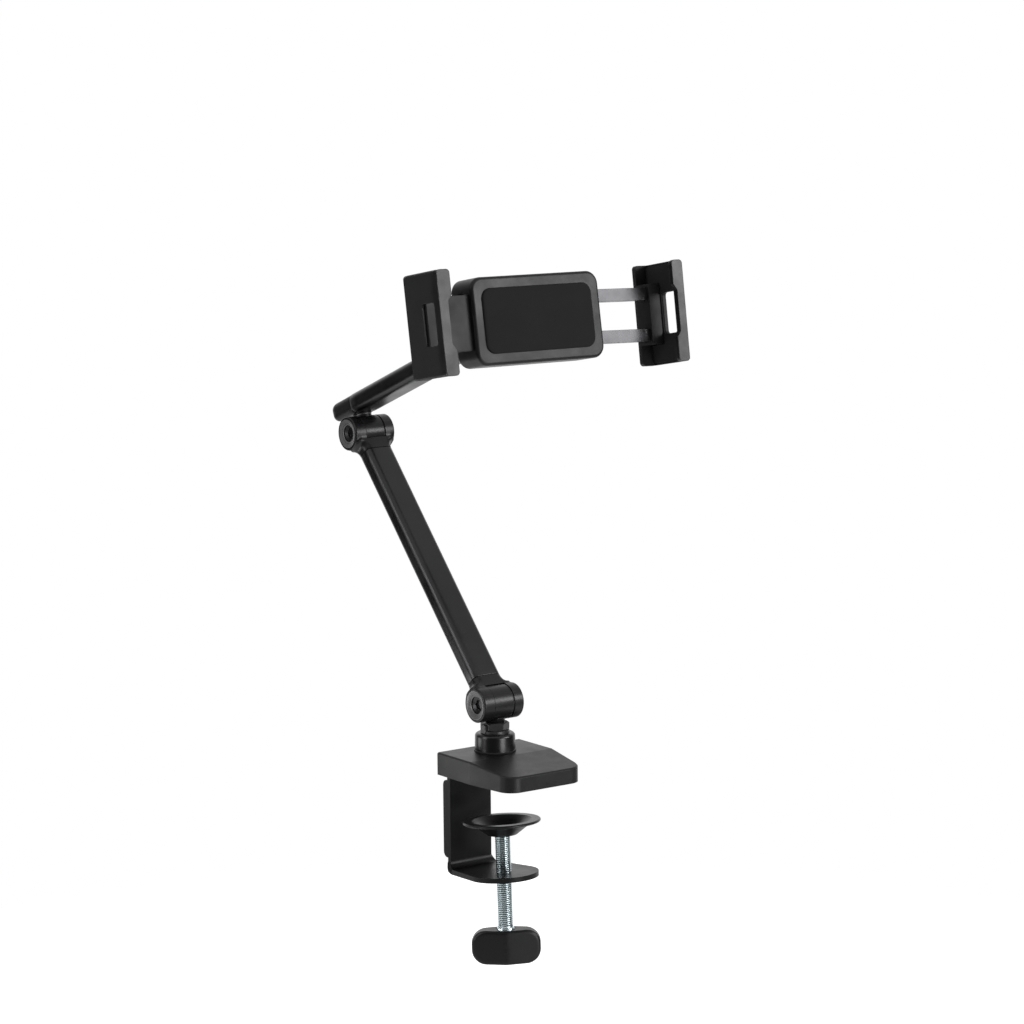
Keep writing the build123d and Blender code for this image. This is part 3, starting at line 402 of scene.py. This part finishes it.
satin_tube = finish(
    "satin_anodised_black", (0.065, 0.065, 0.067), 0.34, 0.3 * MM, 0.001 * MM, metal=1.0, edge=0,
)
cast_black = finish("cast_black", (0.006, 0.006, 0.007), 0.33, 0.45 * MM, 0.012 * MM, 0.46)
fork_black = finish("cast_fork_black", (0.006, 0.006, 0.007), 0.33, 0.45 * MM, 0.010 * MM, 0.46, edge=0)
cover_black = finish("moulded_cover_black", (0.0055, 0.0055, 0.006), 0.41, 0.55 * MM, 0.03 * MM, 0.42)
coated_steel = finish("coated_steel_black", (0.004, 0.004, 0.0045), 0.36, 0.6 * MM, 0.012 * MM, 0.24)
gloss_steel = finish("gloss_steel_black", (0.004, 0.004, 0.0045), 0.33, 0.8 * MM, 0.006 * MM, 0.42)
jaw_black = finish(
    "moulded_jaw_black", (0.0055, 0.0055, 0.006), 0.34, 0.4 * MM, 0.012 * MM, 0.45,
    edge=0.7, recess=0.50,
)
knob_black = finish(
    "moulded_knob_black", (0.003, 0.003, 0.0035), 0.34, 0.5 * MM, 0.012 * MM, 0.34, edge=0,
)
lock_black = finish("moulded_lock_black", (0.006, 0.006, 0.0065), 0.36, 0.5 * MM, 0.012 * MM, 0.45)
ring_black = finish("ring_dark_grey", (0.085, 0.085, 0.087), 0.26, 0.3 * MM, 0.004 * MM, 1.0, edge=0)
# The dark colour in the thread's grooves is painted shade
screw_zinc = finish(
    "bright_zinc", (0.74, 0.85, 0.88), 0.24, 0.5 * MM, 0.002 * MM, metal=1.0, edge=0,
    groove_shade_colour=(0.012, 0.022, 0.026, 1),
)
lock_zinc = finish("lock_screw_zinc", (0.50, 0.57, 0.60), 0.22, 0.5 * MM, 0.003 * MM, metal=1.0, edge=0.1)
bolt_dark = finish("dark_bolt_steel", (0.06, 0.06, 0.063), 0.28, 0.4 * MM, 0.006 * MM, metal=0.9)
cup_black = finish("turned_cup_black", (0.005, 0.005, 0.0055), 0.31, 0.6 * MM, 0.003 * MM, 0.6, edge=0)
nut_black = finish("plated_nut_black", (0.022, 0.022, 0.023), 0.38, 0.5 * MM, 0.004 * MM, 0.7)
cap_black = finish("moulded_cap_black", (0.006, 0.006, 0.0065), 0.42, 0.45 * MM, 0.012 * MM, 0.35, edge=0)
# Lighter grey for the band in the cap's seam: a painted highlight along the seam
seam_painted_highlight = finish("cap_seam_painted_highlight", (0.07, 0.07, 0.072), 0.40, 0.4 * MM, 0.004 * MM, 0.6, edge=0)
foam_black = finish("foam_black", (0.011, 0.011, 0.011), 0.85, 0.5 * MM, 0.06 * MM, 0.25)
rubber = finish("soft_rubber", (0.010, 0.010, 0.010), 0.72, 0.5 * MM, 0.03 * MM, 0.3)
washer_steel = finish("washer_steel", (0.20, 0.20, 0.20), 0.50, 0.4 * MM, 0.006 * MM, metal=1.0)

# The nodes that show as they are. The others are replaced by the pieces below.
finished_nodes = {
    cast_black: ("lower_knuckle", "elbow_knuckle", "tilt_knuckle"),
    cover_black: ("base_cover", "holder_back_shell", "holder_front_shell"),
    coated_steel: ("clamp_bracket", "thread_bush"),
    gloss_steel: ("pressure_pad",),
    nut_black: ("tab_washer", "jam_nut"),
    jaw_black: ("left_jaw", "right_jaw"),
    lock_black: ("lock_knob", "brake_shoe"),
    lock_zinc: ("lock_screw",),
    washer_steel: (
        "spindle_washers", "lower_friction_washer", "elbow_friction_washer", "tilt_friction_washer",
        "elbow_inner_plate", "spring_washer", "elbow_swivel_washer",
    ),
    bolt_dark: (
        "lower_pivot_bolt", "elbow_pivot_bolt", "tilt_pivot_bolt", "lower_pivot_nut", "elbow_pivot_nut",
        "tilt_pivot_nut", "housing_screws", "web_screws", "rail_screws", "cover_screws", "swivel_screw",
        "elbow_swivel_nut", "spindle_nut", "knob_pin", "jaw_rails",
    ),
    rubber: ("desk_pad", "left_jaw_liner", "right_jaw_liner"),
}
for material, names in finished_nodes.items():
    for name in names:
        mesh = nodes[name].data
        mesh.materials.clear()
        mesh.materials.append(material)


# Sizes of the pieces, in metres. The screw is wider here than the construction model's plain 8 mm rod,
# and the end cap is longer than its cap.

# Clamp screw
screw_seat = Vector((0, -8.3, -65.4)) * MM
screw_axis = Vector((0, 0.04188, 0.99912))
screw_radius, screw_bevel = 4.85 * MM, 0.35 * MM
thread_pitch, thread_depth = 1.25 * MM, 0.75 * MM
rings_per_pitch = 10
groove_top, groove_slope = 1.05, 4
screw_foot, screw_shoulder = -51.9 * MM, 27.35 * MM
collar_foot, collar_top, collar_radius = -35.4 * MM, -32.6 * MM, 5.5 * MM
tip_radius, tip_head_radius = 2.5 * MM, 4.5 * MM
tip_head_foot, tip_head_top = 29.55 * MM, 31.55 * MM

# Knob
knob_foot, knob_top = -55.9 * MM, -33.9 * MM
knob_half_width, knob_corner = 22.1 * MM, 9.0 * MM
knob_middle_depth, knob_end_depth = 9.0 * MM, 3.5 * MM
knob_edge, knob_ridge = 1.7 * MM, 0.04
knob_dish_radius, knob_dish_depth, knob_dish_slope = 6.7 * MM, 1.5 * MM, 3
knob_first_share, knob_inset_share = 0.02, 0.35
knob_turn = math.radians(-35.6)

# Cup and the washer under it
cup_foot, cup_top = 16.2 * MM, 27.4 * MM
cup_radius, cup_lean, cup_shoulder = 13.0 * MM, 0.2 * MM, 2.2 * MM
cup_bore, cup_bore_edge = 5.0 * MM, 0.4 * MM
cup_lip_under, cup_lip_out, cup_lip_low, cup_lip_high = 0.05 * MM, 0.15 * MM, 0.1 * MM, 0.3 * MM
foot_radius, foot_bore, foot_edge = 13.35 * MM, 6.0 * MM, 0.12 * MM

# Arms
lower_pivot = Vector((0, 0, 46.4)) * MM
elbow_pivot = Vector((0, 144.566, 205.946)) * MM
lower_run = (elbow_pivot - lower_pivot).normalized()
upper_run = Vector((0, -0.93358, 0.35837))
upper_up = Vector((0, 0.35837, 0.93358))
tube_half_width, tube_half_depth, tube_corner = 10.6 * MM, 6.5 * MM, 4.8 * MM
seam_gap, seam_edge = 0.25 * MM, 0.35 * MM
# The band in the cap's seam is lighter grey: a painted highlight along the seam's edges
seam_band, seam_band_edge, seam_band_inset = 0.9 * MM, 0.12 * MM, 0.10 * MM
cap_fullness, cap_tip = 2.3, 0.9995
cap_inset, cap_round, cap_length = 0.25 * MM, 9.5 * MM, 29.5 * MM
saddle_radius, saddle_flare = 6.2 * MM, 9.9 * MM
saddle_height, saddle_rise = 3.2 * MM, 2.4 * MM
saddle_foot_edge, saddle_straight, saddle_bore = 0.4 * MM, 0.9 * MM, 3.2 * MM

# Forks, measured from their pivot
pivot_radius, skin_gap = 11.15 * MM, 0.02 * MM
skin_blend, skin_search = 1.0 * MM, (1.0 * MM, 26.0 * MM)
ear_end, ear_edge = 15.25 * MM, 0.9 * MM
slot_left, slot_right = -7.3 * MM, 8.15 * MM
crotch_radius, crotch_share, web_lap = 12.4 * MM, 0.72, 0.3 * MM
head_seat, head_bore = -10.2 * MM, 6.65 * MM
nut_seat, nut_flats = 10.45 * MM, 13.3 * MM
fork_seam, cove_end = 17.0 * MM, 10.6 * MM
pivot_swell = 3.2 * MM
joined_crease = 45

# Rings
ring_outer, ring_inner, ring_rim, ring_edge = 9.5 * MM, 5.6 * MM, 8.85 * MM, 0.3 * MM
ring_low, ring_top, ring_lip = 14.05 * MM, 15.45 * MM, 0.1 * MM
ring_groove, ring_floor = 9.97 * MM, -14.65 * MM

# Foam pad
pad_corner, pad_edge, pad_crown, pad_floor = 6.5 * MM, 1.1 * MM, 0.5 * MM, 0.1 * MM
pad_first_share, pad_flat_edges = 0.03, 2.5


def smooth_max(a, b, blend):
    """The larger of two, rounded off where they are equal."""
    return (a + b + np.sqrt((a - b) ** 2 + blend ** 2)) / 2


def rounded_outline(half_x, half_y, corner, per_corner=8, per_side=6):
    """Points round a rectangle with rounded corners, anticlockwise: four quarter circles, and the
    straight runs between them cut into equal steps."""
    turn = np.linspace(0, math.pi / 2, per_corner + 1)
    arc = corner * np.stack([np.cos(turn), np.sin(turn)], axis=-1)
    inner_x, inner_y = half_x - corner, half_y - corner
    quarter_turn = np.array([[0.0, 1.0], [-1.0, 0.0]])
    signs = [(1, 1), (-1, 1), (-1, -1), (1, -1)]
    runs = [
        arc @ np.linalg.matrix_power(quarter_turn, k) + np.array([x * inner_x, y * inner_y])
        for k, (x, y) in enumerate(signs)
    ]
    step = np.linspace(0, 1, per_side + 1)[1:-1, None]
    points = []
    for run, following in zip(runs, runs[1:] + runs[:1]):
        points += [run, run[-1] + (following[0] - run[-1]) * step]
    return np.concatenate(points)


def thread_run(angle, low, high):
    """Height and radius of a thread: its crest less a flattened sawtooth of height over pitch less the
    share of a turn, which fades out at both ends."""
    height = np.arange(low, high, thread_pitch / rings_per_pitch)[:, None]
    phase = (height / thread_pitch - angle / (2 * math.pi)) % 1.0
    groove = np.clip(groove_top - np.abs(phase - 0.5) * groove_slope, 0, 1)
    fade = np.clip(np.minimum(height - low, high - height) / thread_pitch, 0, 1)
    return height + 0 * angle, screw_radius - thread_depth * groove * fade


def plain_run(angle, *points):
    """Height and radius of round steps, each a (radius, height)."""
    radius, height = np.array(points).T[:, :, None]
    return height + 0 * angle, radius + 0 * angle


def threaded_screw():
    """The plain foot, the collar, the thread, the neck and the head over the pad, as heights and radii
    round the screw's axis. The depth of the thread's groove goes with each point, and sets how much
    painted shade darkens the groove."""
    angle = np.linspace(0, 2 * math.pi, 40, endpoint=False)
    bevel = screw_bevel
    parts = [
        plain_run(
            angle,
            (screw_radius - bevel, screw_foot), (screw_radius, screw_foot + bevel),
            (screw_radius, collar_foot), (collar_radius, collar_foot),
            (collar_radius, collar_top - bevel), (collar_radius - bevel, collar_top),
            (screw_radius, collar_top),
        ),
        thread_run(angle, collar_top + bevel, screw_shoulder - bevel),
        plain_run(
            angle,
            (screw_radius - bevel, screw_shoulder), (tip_radius, screw_shoulder),
            (tip_radius, tip_head_foot), (tip_head_radius - bevel, tip_head_foot),
            (tip_head_radius, tip_head_foot + bevel),
            (tip_head_radius, tip_head_top - bevel), (tip_head_radius - bevel, tip_head_top),
        ),
    ]
    height = np.concatenate([part[0] for part in parts])
    radius = np.concatenate([part[1] for part in parts])
    rings = np.stack([radius * np.cos(angle), radius * np.sin(angle), height], axis=-1)
    mesh = body_mesh("threaded_clamp_screw", placed(rings, along_axis(screw_seat, screw_axis)), crease=50)
    in_thread = (height > collar_top) & (height < screw_shoulder)
    depth = np.clip((screw_radius - radius) / thread_depth, 0, 1) * in_thread
    groove = mesh.attributes.new("groove", "FLOAT", "POINT")
    groove.data.foreach_set("value", np.concatenate([depth.ravel(), [0, 0]]).astype(np.float32))
    return mesh


def wing_knob():
    """Rings about the middle of the front face, each the knob's outline drawn in by a share. Depth is
    the wedge's straight line from the ridge to the ends, less a quarter circle over the outer rings;
    then flat rings across the thickness and the same again behind. Points near the screw sink by a
    smooth bowl."""
    half_height = (knob_top - knob_foot) / 2
    outline = rounded_outline(knob_half_width, half_height, knob_corner, 9, 60)
    edge_share = knob_edge / half_height
    inner = np.linspace(knob_first_share, 1 - edge_share, 12)
    turn = np.linspace(0, math.pi / 2, 9)[1:]
    share = np.concatenate([inner, 1 - edge_share + edge_share * np.sin(turn)])
    swell = np.concatenate([np.ones(len(inner)), np.cos(turn)])
    inset = (1 - share)[:, None] * half_height
    flat = outline[None] * share[:, None, None]
    ring_x = np.sign(outline[None, :, 0]) * np.maximum(np.abs(outline[None, :, 0]) - inset, 0)
    ring_x = np.where(share[:, None] > knob_inset_share, ring_x, flat[:, :, 0])
    ring_z = flat[:, :, 1]
    run = np.hypot(ring_x / knob_half_width, knob_ridge) - knob_ridge
    wedge = knob_middle_depth + (knob_end_depth - knob_middle_depth) * run
    depth = wedge - knob_edge * (1 - swell)[:, None]
    side = np.linspace(1, -1, 15)[1:-1, None] * depth[-1]
    last_x, last_z = ring_x[-1], ring_z[-1]
    x = np.concatenate([ring_x, np.broadcast_to(last_x, side.shape), ring_x[::-1]])
    y = np.concatenate([-depth, -side, depth[::-1]])
    z = np.concatenate([ring_z, np.broadcast_to(last_z, side.shape), ring_z[::-1]])
    bowl = np.clip(1 - np.hypot(x, y) / knob_dish_radius, 0, 1)
    z = z - knob_dish_depth * np.clip(bowl * knob_dish_slope, 0, 1) * (z > half_height - knob_edge)
    middle_height = (knob_top + knob_foot) / 2
    rings = np.stack([x, y, z + middle_height], axis=-1)
    turned_place = along_axis(screw_seat, screw_axis) @ Matrix.Rotation(knob_turn, 4, "Z")
    return body_mesh("wing_knob", placed(rings, turned_place), crease=50)


def fork_depth(x, height):
    """Half depth of the fork's tail at a place along the pivot and a height above it: a rounded
    rectangle that is the tube's outline at the seam, swept out to the ears on a quarter circle and
    deepened towards the pivot."""
    share = np.clip(height / fork_seam, 0, 1)
    climb = np.clip((fork_seam - height) / (fork_seam - cove_end), 0, 1)
    half_width = tube_half_width + (ear_end - tube_half_width) * (1 - np.sqrt(1 - climb ** 2))
    half_depth = tube_half_depth + pivot_swell * (1 - share) ** 2
    off_corner = np.clip(np.abs(x) - (half_width - tube_corner), 0, tube_corner)
    depth = half_depth - tube_corner + np.sqrt(tube_corner ** 2 - off_corner ** 2)
    return np.where((np.abs(x) <= half_width) & (height <= fork_seam), depth, 0)


def fork_skin(x, angle):
    """Distance from the pivot to the skin of an ear, by the place along the pivot and the angle from
    the arm: the larger of the round barrel and of the tail, blended where they meet. The tail's edge
    is found by halving."""
    x, angle = np.broadcast_arrays(x, angle)
    inside, outside = (np.full(x.shape, limit) for limit in skin_search)
    for _ in range(20):
        half = (inside + outside) / 2
        within = np.abs(half * np.sin(angle)) < fork_depth(x, half * np.cos(angle))
        inside = np.where(within, half, inside)
        outside = np.where(within, outside, half)
    tail = np.where(np.cos(angle) > 0, inside, 0)
    return smooth_max(np.full_like(tail, pivot_radius), tail, skin_blend) - skin_gap


def cast_fork(name, pivot, run):
    """Two ears and the web between them, each a closed body; the ears turn about the pivot, and the web
    fills the arm's outline between the seam and the arc that clears the knuckle."""
    place = along_axis(pivot, run)
    angle = np.linspace(-math.pi, math.pi, 180, endpoint=False)[None, :]
    turn = np.linspace(0, math.pi / 2, 6)[1:, None]
    sixth = math.pi / 3
    hexagon = nut_flats / 2 / np.cos((angle + sixth / 2) % sixth - sixth / 2)
    meshes = []
    for side, slot, seat in ((-1, slot_left, head_seat), (1, slot_right, nut_seat)):
        body_x = np.linspace(slot, side * (ear_end - ear_edge), 30)[:, None]
        edge_x = side * (ear_end - ear_edge * (1 - np.sin(turn)))
        edge_skin = fork_skin(edge_x, angle) - ear_edge * (1 - np.cos(turn))
        pocket = hexagon if side > 0 else np.full(angle.shape, head_bore)
        ends = [(side * ear_end, pocket), (seat, pocket)]
        if side < 0:
            groove = np.full(angle.shape, ring_groove)
            ends = [(-ear_end, groove), (ring_floor, groove), (ring_floor, pocket), (seat, pocket)]
        rows_x = np.concatenate([body_x, edge_x, [[end_x] for end_x, skin in ends]])
        rows_skin = np.concatenate([fork_skin(body_x, angle), edge_skin, *(skin for end_x, skin in ends)])
        rings = np.stack([
            rows_x + 0 * angle,
            rows_skin * np.sin(angle),
            rows_skin * np.cos(angle),
        ], axis=-1)
        meshes.append(body_mesh(name + "_ear", placed(rings, place), crease=45))
    x = np.linspace(slot_left - web_lap, slot_right + web_lap, 24)[:, None]
    share = np.linspace(-1, 1, 25)[None, :]
    down = np.linspace(0, 1, 14)[None, 1:-1]
    start = crotch_radius * crotch_share
    start_height = math.sqrt(crotch_radius ** 2 - start ** 2)
    side_z = start_height + (fork_seam - start_height) * down + 0 * x
    side_y = fork_depth(x, side_z)
    near = np.minimum(fork_depth(x, start_height + 0 * x), start)
    near_y = share * near
    near_z = np.sqrt(crotch_radius ** 2 - near_y ** 2)
    end_y = -share * fork_depth(x, fork_seam + 0 * x)
    y = np.concatenate([near_y, side_y, end_y, -side_y[:, ::-1]], axis=1)
    z = np.concatenate([near_z, side_z, fork_seam + 0 * end_y, side_z[:, ::-1]], axis=1)
    rings = np.stack([x + 0 * y, y, z], axis=-1)
    meshes.append(body_mesh(name + "_web", placed(rings, place), crease=45))
    return joined(name, meshes)


def joined(name, meshes):
    """One mesh with the points and faces of several, in turn."""
    points, faces, start = [], [], 0
    for mesh in meshes:
        own = np.zeros(len(mesh.vertices) * 3)
        mesh.vertices.foreach_get("co", own)
        points.append(own.reshape(-1, 3))
        corners = np.zeros(len(mesh.loops), dtype=np.int32)
        mesh.loops.foreach_get("vertex_index", corners)
        sides = np.zeros(len(mesh.polygons), dtype=np.int32)
        mesh.polygons.foreach_get("loop_total", sides)
        faces += np.split(corners + start, np.cumsum(sides)[:-1])
        start += len(mesh.vertices)
        bpy.data.meshes.remove(mesh)
    whole = bpy.data.meshes.new(name)
    whole.from_pydata(np.concatenate(points), [], [face.tolist() for face in faces])
    whole.shade_smooth()
    whole.set_sharp_from_angle(angle=math.radians(joined_crease))
    return whole


def arm_tube(name, place, low, high, edge=seam_edge, inset=0.0):
    """The rounded outline carried along the arm. At its ends it draws in over a small quarter circle."""
    outline = rounded_outline(tube_half_width - inset, tube_half_depth - inset, tube_corner - inset)
    turn = np.linspace(0, math.pi / 2, 5)
    draw = edge * (1 - np.sin(turn))
    step = edge * (1 - np.cos(turn))
    between = np.linspace(low + edge, high - edge, 24)[1:-1]
    heights = np.concatenate([low + step, between, high - step[::-1]])
    insets = np.concatenate([draw, np.zeros_like(between), draw[::-1]])
    scale_x = 1 - insets / tube_half_width
    scale_y = 1 - insets / tube_half_depth
    rings = np.stack([
        scale_x[:, None] * outline[None, :, 0],
        scale_y[:, None] * outline[None, :, 1],
        np.broadcast_to(heights[:, None], (len(heights), len(outline))),
    ], axis=-1)
    return body_mesh(name, placed(rings, place), crease=50)


def end_cap(name, place, low, high):
    """The tube's outline, a little smaller, carried straight on and then drawn in towards the end: its
    share is a circle of the power cap_fullness of the place along the round end. It starts on a
    small edge."""
    half_width, half_depth = tube_half_width - cap_inset, tube_half_depth - cap_inset
    outline = rounded_outline(half_width, half_depth, tube_corner - cap_inset)
    along = np.sin(np.linspace(0, math.pi / 2, 26)) * cap_tip
    turn = np.linspace(0, math.pi / 2, 5)[:-1]
    share = np.concatenate([
        1 - seam_edge * (1 - np.sin(turn)) / half_depth,
        np.ones(8),
        (1 - along ** cap_fullness) ** (1 / cap_fullness),
    ])
    round_start = high - cap_round
    heights = np.concatenate([
        low + seam_edge * (1 - np.cos(turn)),
        np.linspace(low + seam_edge, round_start, 9)[:-1],
        round_start + cap_round * along,
    ])
    rings = np.stack([
        share[:, None] * outline[None, :, 0],
        share[:, None] * outline[None, :, 1],
        np.broadcast_to(heights[:, None], (len(heights), len(outline))),
    ], axis=-1)
    return body_mesh(name, placed(rings, place), crease=50)


def turned_cup():
    """The cup turned about the swivel: a small foot, a side that leans in slightly, a rounded shoulder
    on a quarter circle, a flat top and a bore for the stud."""
    turn = np.linspace(0, math.pi / 2, 12)
    shoulder = np.stack([
        cup_radius - cup_lean - cup_shoulder * (1 - np.cos(turn)),
        cup_top - cup_shoulder * (1 - np.sin(turn)),
    ], axis=-1)
    profile = [
        (cup_radius + cup_lip_under, cup_foot), (cup_radius + cup_lip_out, cup_foot + cup_lip_low),
        (cup_radius, cup_foot + cup_lip_high), *map(tuple, shoulder),
        (cup_bore + cup_bore_edge, cup_top), (cup_bore, cup_top - cup_bore_edge), (cup_bore, cup_foot),
    ]
    return turned("turned_cup", Matrix.Identity(4), profile, around=128, hollow=True, crease=35)


def thin_foot():
    """The washer under the cup, turned about the swivel: a plain band with a small edge."""
    low, high = (float(corner[2]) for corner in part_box("foot_washer"))
    profile = [
        (foot_radius - foot_edge, low), (foot_radius, low + foot_edge),
        (foot_radius, high - foot_edge), (foot_radius - foot_edge, high),
        (foot_bore, high), (foot_bore, low),
    ]
    return turned("thin_foot", Matrix.Identity(4), profile, hollow=True)


def flared_saddle():
    """The collar between the swivel washer and the tube, turned about the swivel's axis: straight at
    its foot, then out on a quarter circle, and up into the tube's underside."""
    place = along_axis(elbow_pivot, upper_up)
    foot = reach("upper_arm_saddle", place)[0][2]
    top = foot + saddle_height
    turn = np.linspace(0, math.pi / 2, 10)
    flare = np.stack([
        saddle_radius + (saddle_flare - saddle_radius) * (1 - np.cos(turn)),
        foot + saddle_straight + (top - foot - saddle_straight) * np.sin(turn),
    ], axis=-1)
    profile = [
        (saddle_radius - saddle_foot_edge, foot), (saddle_radius, foot + saddle_foot_edge),
        *map(tuple, flare), (saddle_flare, top + saddle_rise), (saddle_bore, top + saddle_rise),
    ]
    return turned("flared_saddle", place, profile)


def ear_ring(name, pivot):
    """A ring with a narrow flat rim, a rounded outer edge and a wide cone that leads down to the bolt's
    socket."""
    place = along_axis(pivot, (-1, 0, 0), (0, 1, 0))
    turn = np.linspace(0, math.pi / 2, 6)
    edge = np.stack([
        ring_outer - ring_edge * (1 - np.cos(turn)),
        ring_top - ring_edge * (1 - np.sin(turn)),
    ], axis=-1)
    profile = [
        (ring_outer, ring_low), *map(tuple, edge), (ring_rim, ring_top),
        (ring_inner, ring_low + ring_lip), (ring_inner, ring_low),
    ]
    return turned(name, place, profile, hollow=True, crease=35)


def foam_pad():
    """A crowned pad in the holder's recess. Its top falls by a quarter circle at the edge and by a
    crown, which is one less the product of one less the fourth powers of the places across and
    along. The underside is flat."""
    place = along_axis(middle("holder_foam_pad"), holder_normal)
    low, high = reach("holder_foam_pad", place)
    half_x, half_y = (high[0] - low[0]) / 2, (high[1] - low[1]) / 2
    outline = rounded_outline(half_x, half_y, pad_corner, 10, 24)
    turn = np.linspace(0, math.pi / 2, 8)
    edge_share = pad_edge / half_y
    inner = np.linspace(pad_first_share, 1 - pad_flat_edges * edge_share, 26)
    share = np.concatenate([inner, 1 - edge_share * (1 - np.sin(turn))])
    fall = np.concatenate([np.zeros_like(inner), pad_edge * (1 - np.cos(turn))])
    x, y = outline[None, :, 0] * share[:, None], outline[None, :, 1] * share[:, None]
    crown = (1 - (x / half_x) ** 4) * (1 - (y / half_y) ** 4)
    z = high[2] - fall[:, None] - pad_crown * (1 - crown)
    z = np.maximum(z, low[2] + pad_floor)
    rings = np.concatenate([
        np.stack([x, y, z], axis=-1),
        np.stack([x[-1:], y[-1:], np.full_like(x[-1:], low[2])], axis=-1),
    ])
    return body_mesh("crowned_foam_pad", placed(rings, place), crease=60)


# The pieces, on the bodies they ride on
piece(turned_cup(), "swivel", cup_black, "swivel_cup")
piece(thin_foot(), "base", rubber, "foot_washer")
piece(threaded_screw(), "clamp_screw_set", screw_zinc, "clamp_screw")
piece(wing_knob(), "clamp_screw_set", knob_black, "clamp_knob")
piece(cast_fork("foot_fork", lower_pivot, lower_run), "lower_arm", fork_black, "lower_foot_fork")
piece(cast_fork("head_fork", elbow_pivot, -lower_run), "lower_arm", fork_black, "lower_head_fork")
piece(cast_fork("tip_fork", tilt_pivot, -upper_run), "upper_arm", fork_black, "upper_tip_fork")
lower_length = (elbow_pivot - lower_pivot).length
lower_place = along_axis(lower_pivot, lower_run)
tube_span = (fork_seam + seam_gap, lower_length - fork_seam - seam_gap)
piece(arm_tube("lower_tube", lower_place, *tube_span), "lower_arm", satin_tube, "lower_arm_tube")
upper_place = along_axis(tilt_pivot, -upper_run)
tube_low, tube_high = reach("upper_arm_tube", upper_place)
nose = float(reach("upper_end_cap", upper_place)[1][2])
upper_place = upper_place @ Matrix.Translation((0, (tube_low[1] + tube_high[1]) / 2, 0))
upper_span = (fork_seam + seam_gap, nose - cap_length - seam_gap)
piece(flared_saddle(), "upper_arm", cap_black, "upper_arm_saddle")
piece(arm_tube("upper_tube", upper_place, *upper_span), "upper_arm", satin_tube, "upper_arm_tube")
cap_seam = upper_span[1] + seam_gap
piece(end_cap("round_end_cap", upper_place, cap_seam, nose), "upper_arm", cap_black, "upper_end_cap")
# A lighter grey band sunk in the seam between tube and cap: a painted highlight
band_middle = cap_seam - seam_gap / 2
band_span = (band_middle - seam_band / 2, band_middle + seam_band / 2)
band = arm_tube("cap_seam_highlight_band", upper_place, *band_span, edge=seam_band_edge, inset=seam_band_inset)
piece(band, "upper_arm", seam_painted_highlight)
both_rings = joined("arm_end_rings", [ear_ring("ring", lower_pivot), ear_ring("ring", elbow_pivot)])
piece(both_rings, "lower_arm", ring_black, "lower_arm_rings")
piece(ear_ring("tip_end_ring", tilt_pivot), "upper_arm", ring_black, "upper_arm_ring")
foam = piece(foam_pad(), "holder", foam_black, "holder_foam_pad")


aim_camera()
light_world()
lay_floor(cad_box[0][2] - floor_gap)
soft_box(
    "left_tall_box", place=(-1.38, 0.22, 0.42), target=(0, 0.05, 0.12),
    width=0.42, height=1.15, power=5.4,
)
soft_box(
    "low_left_card", place=(-0.30, 0.27, -0.05), target=(-0.03, 0, 0.01),
    width=0.16, height=0.09, power=0.16,
)
soft_box(
    "front_right_box", place=(1.15, -1.60, 0.74), target=(0, 0.02, 0.10),
    width=0.9, height=0.6, power=15,
)
soft_box(
    "front_strip", place=(0.24, -1.48, -0.08), target=(0, 0, 0),
    width=0.62, height=0.45, power=5.5,
)

bpy.context.scene.view_settings.view_transform = "Standard"
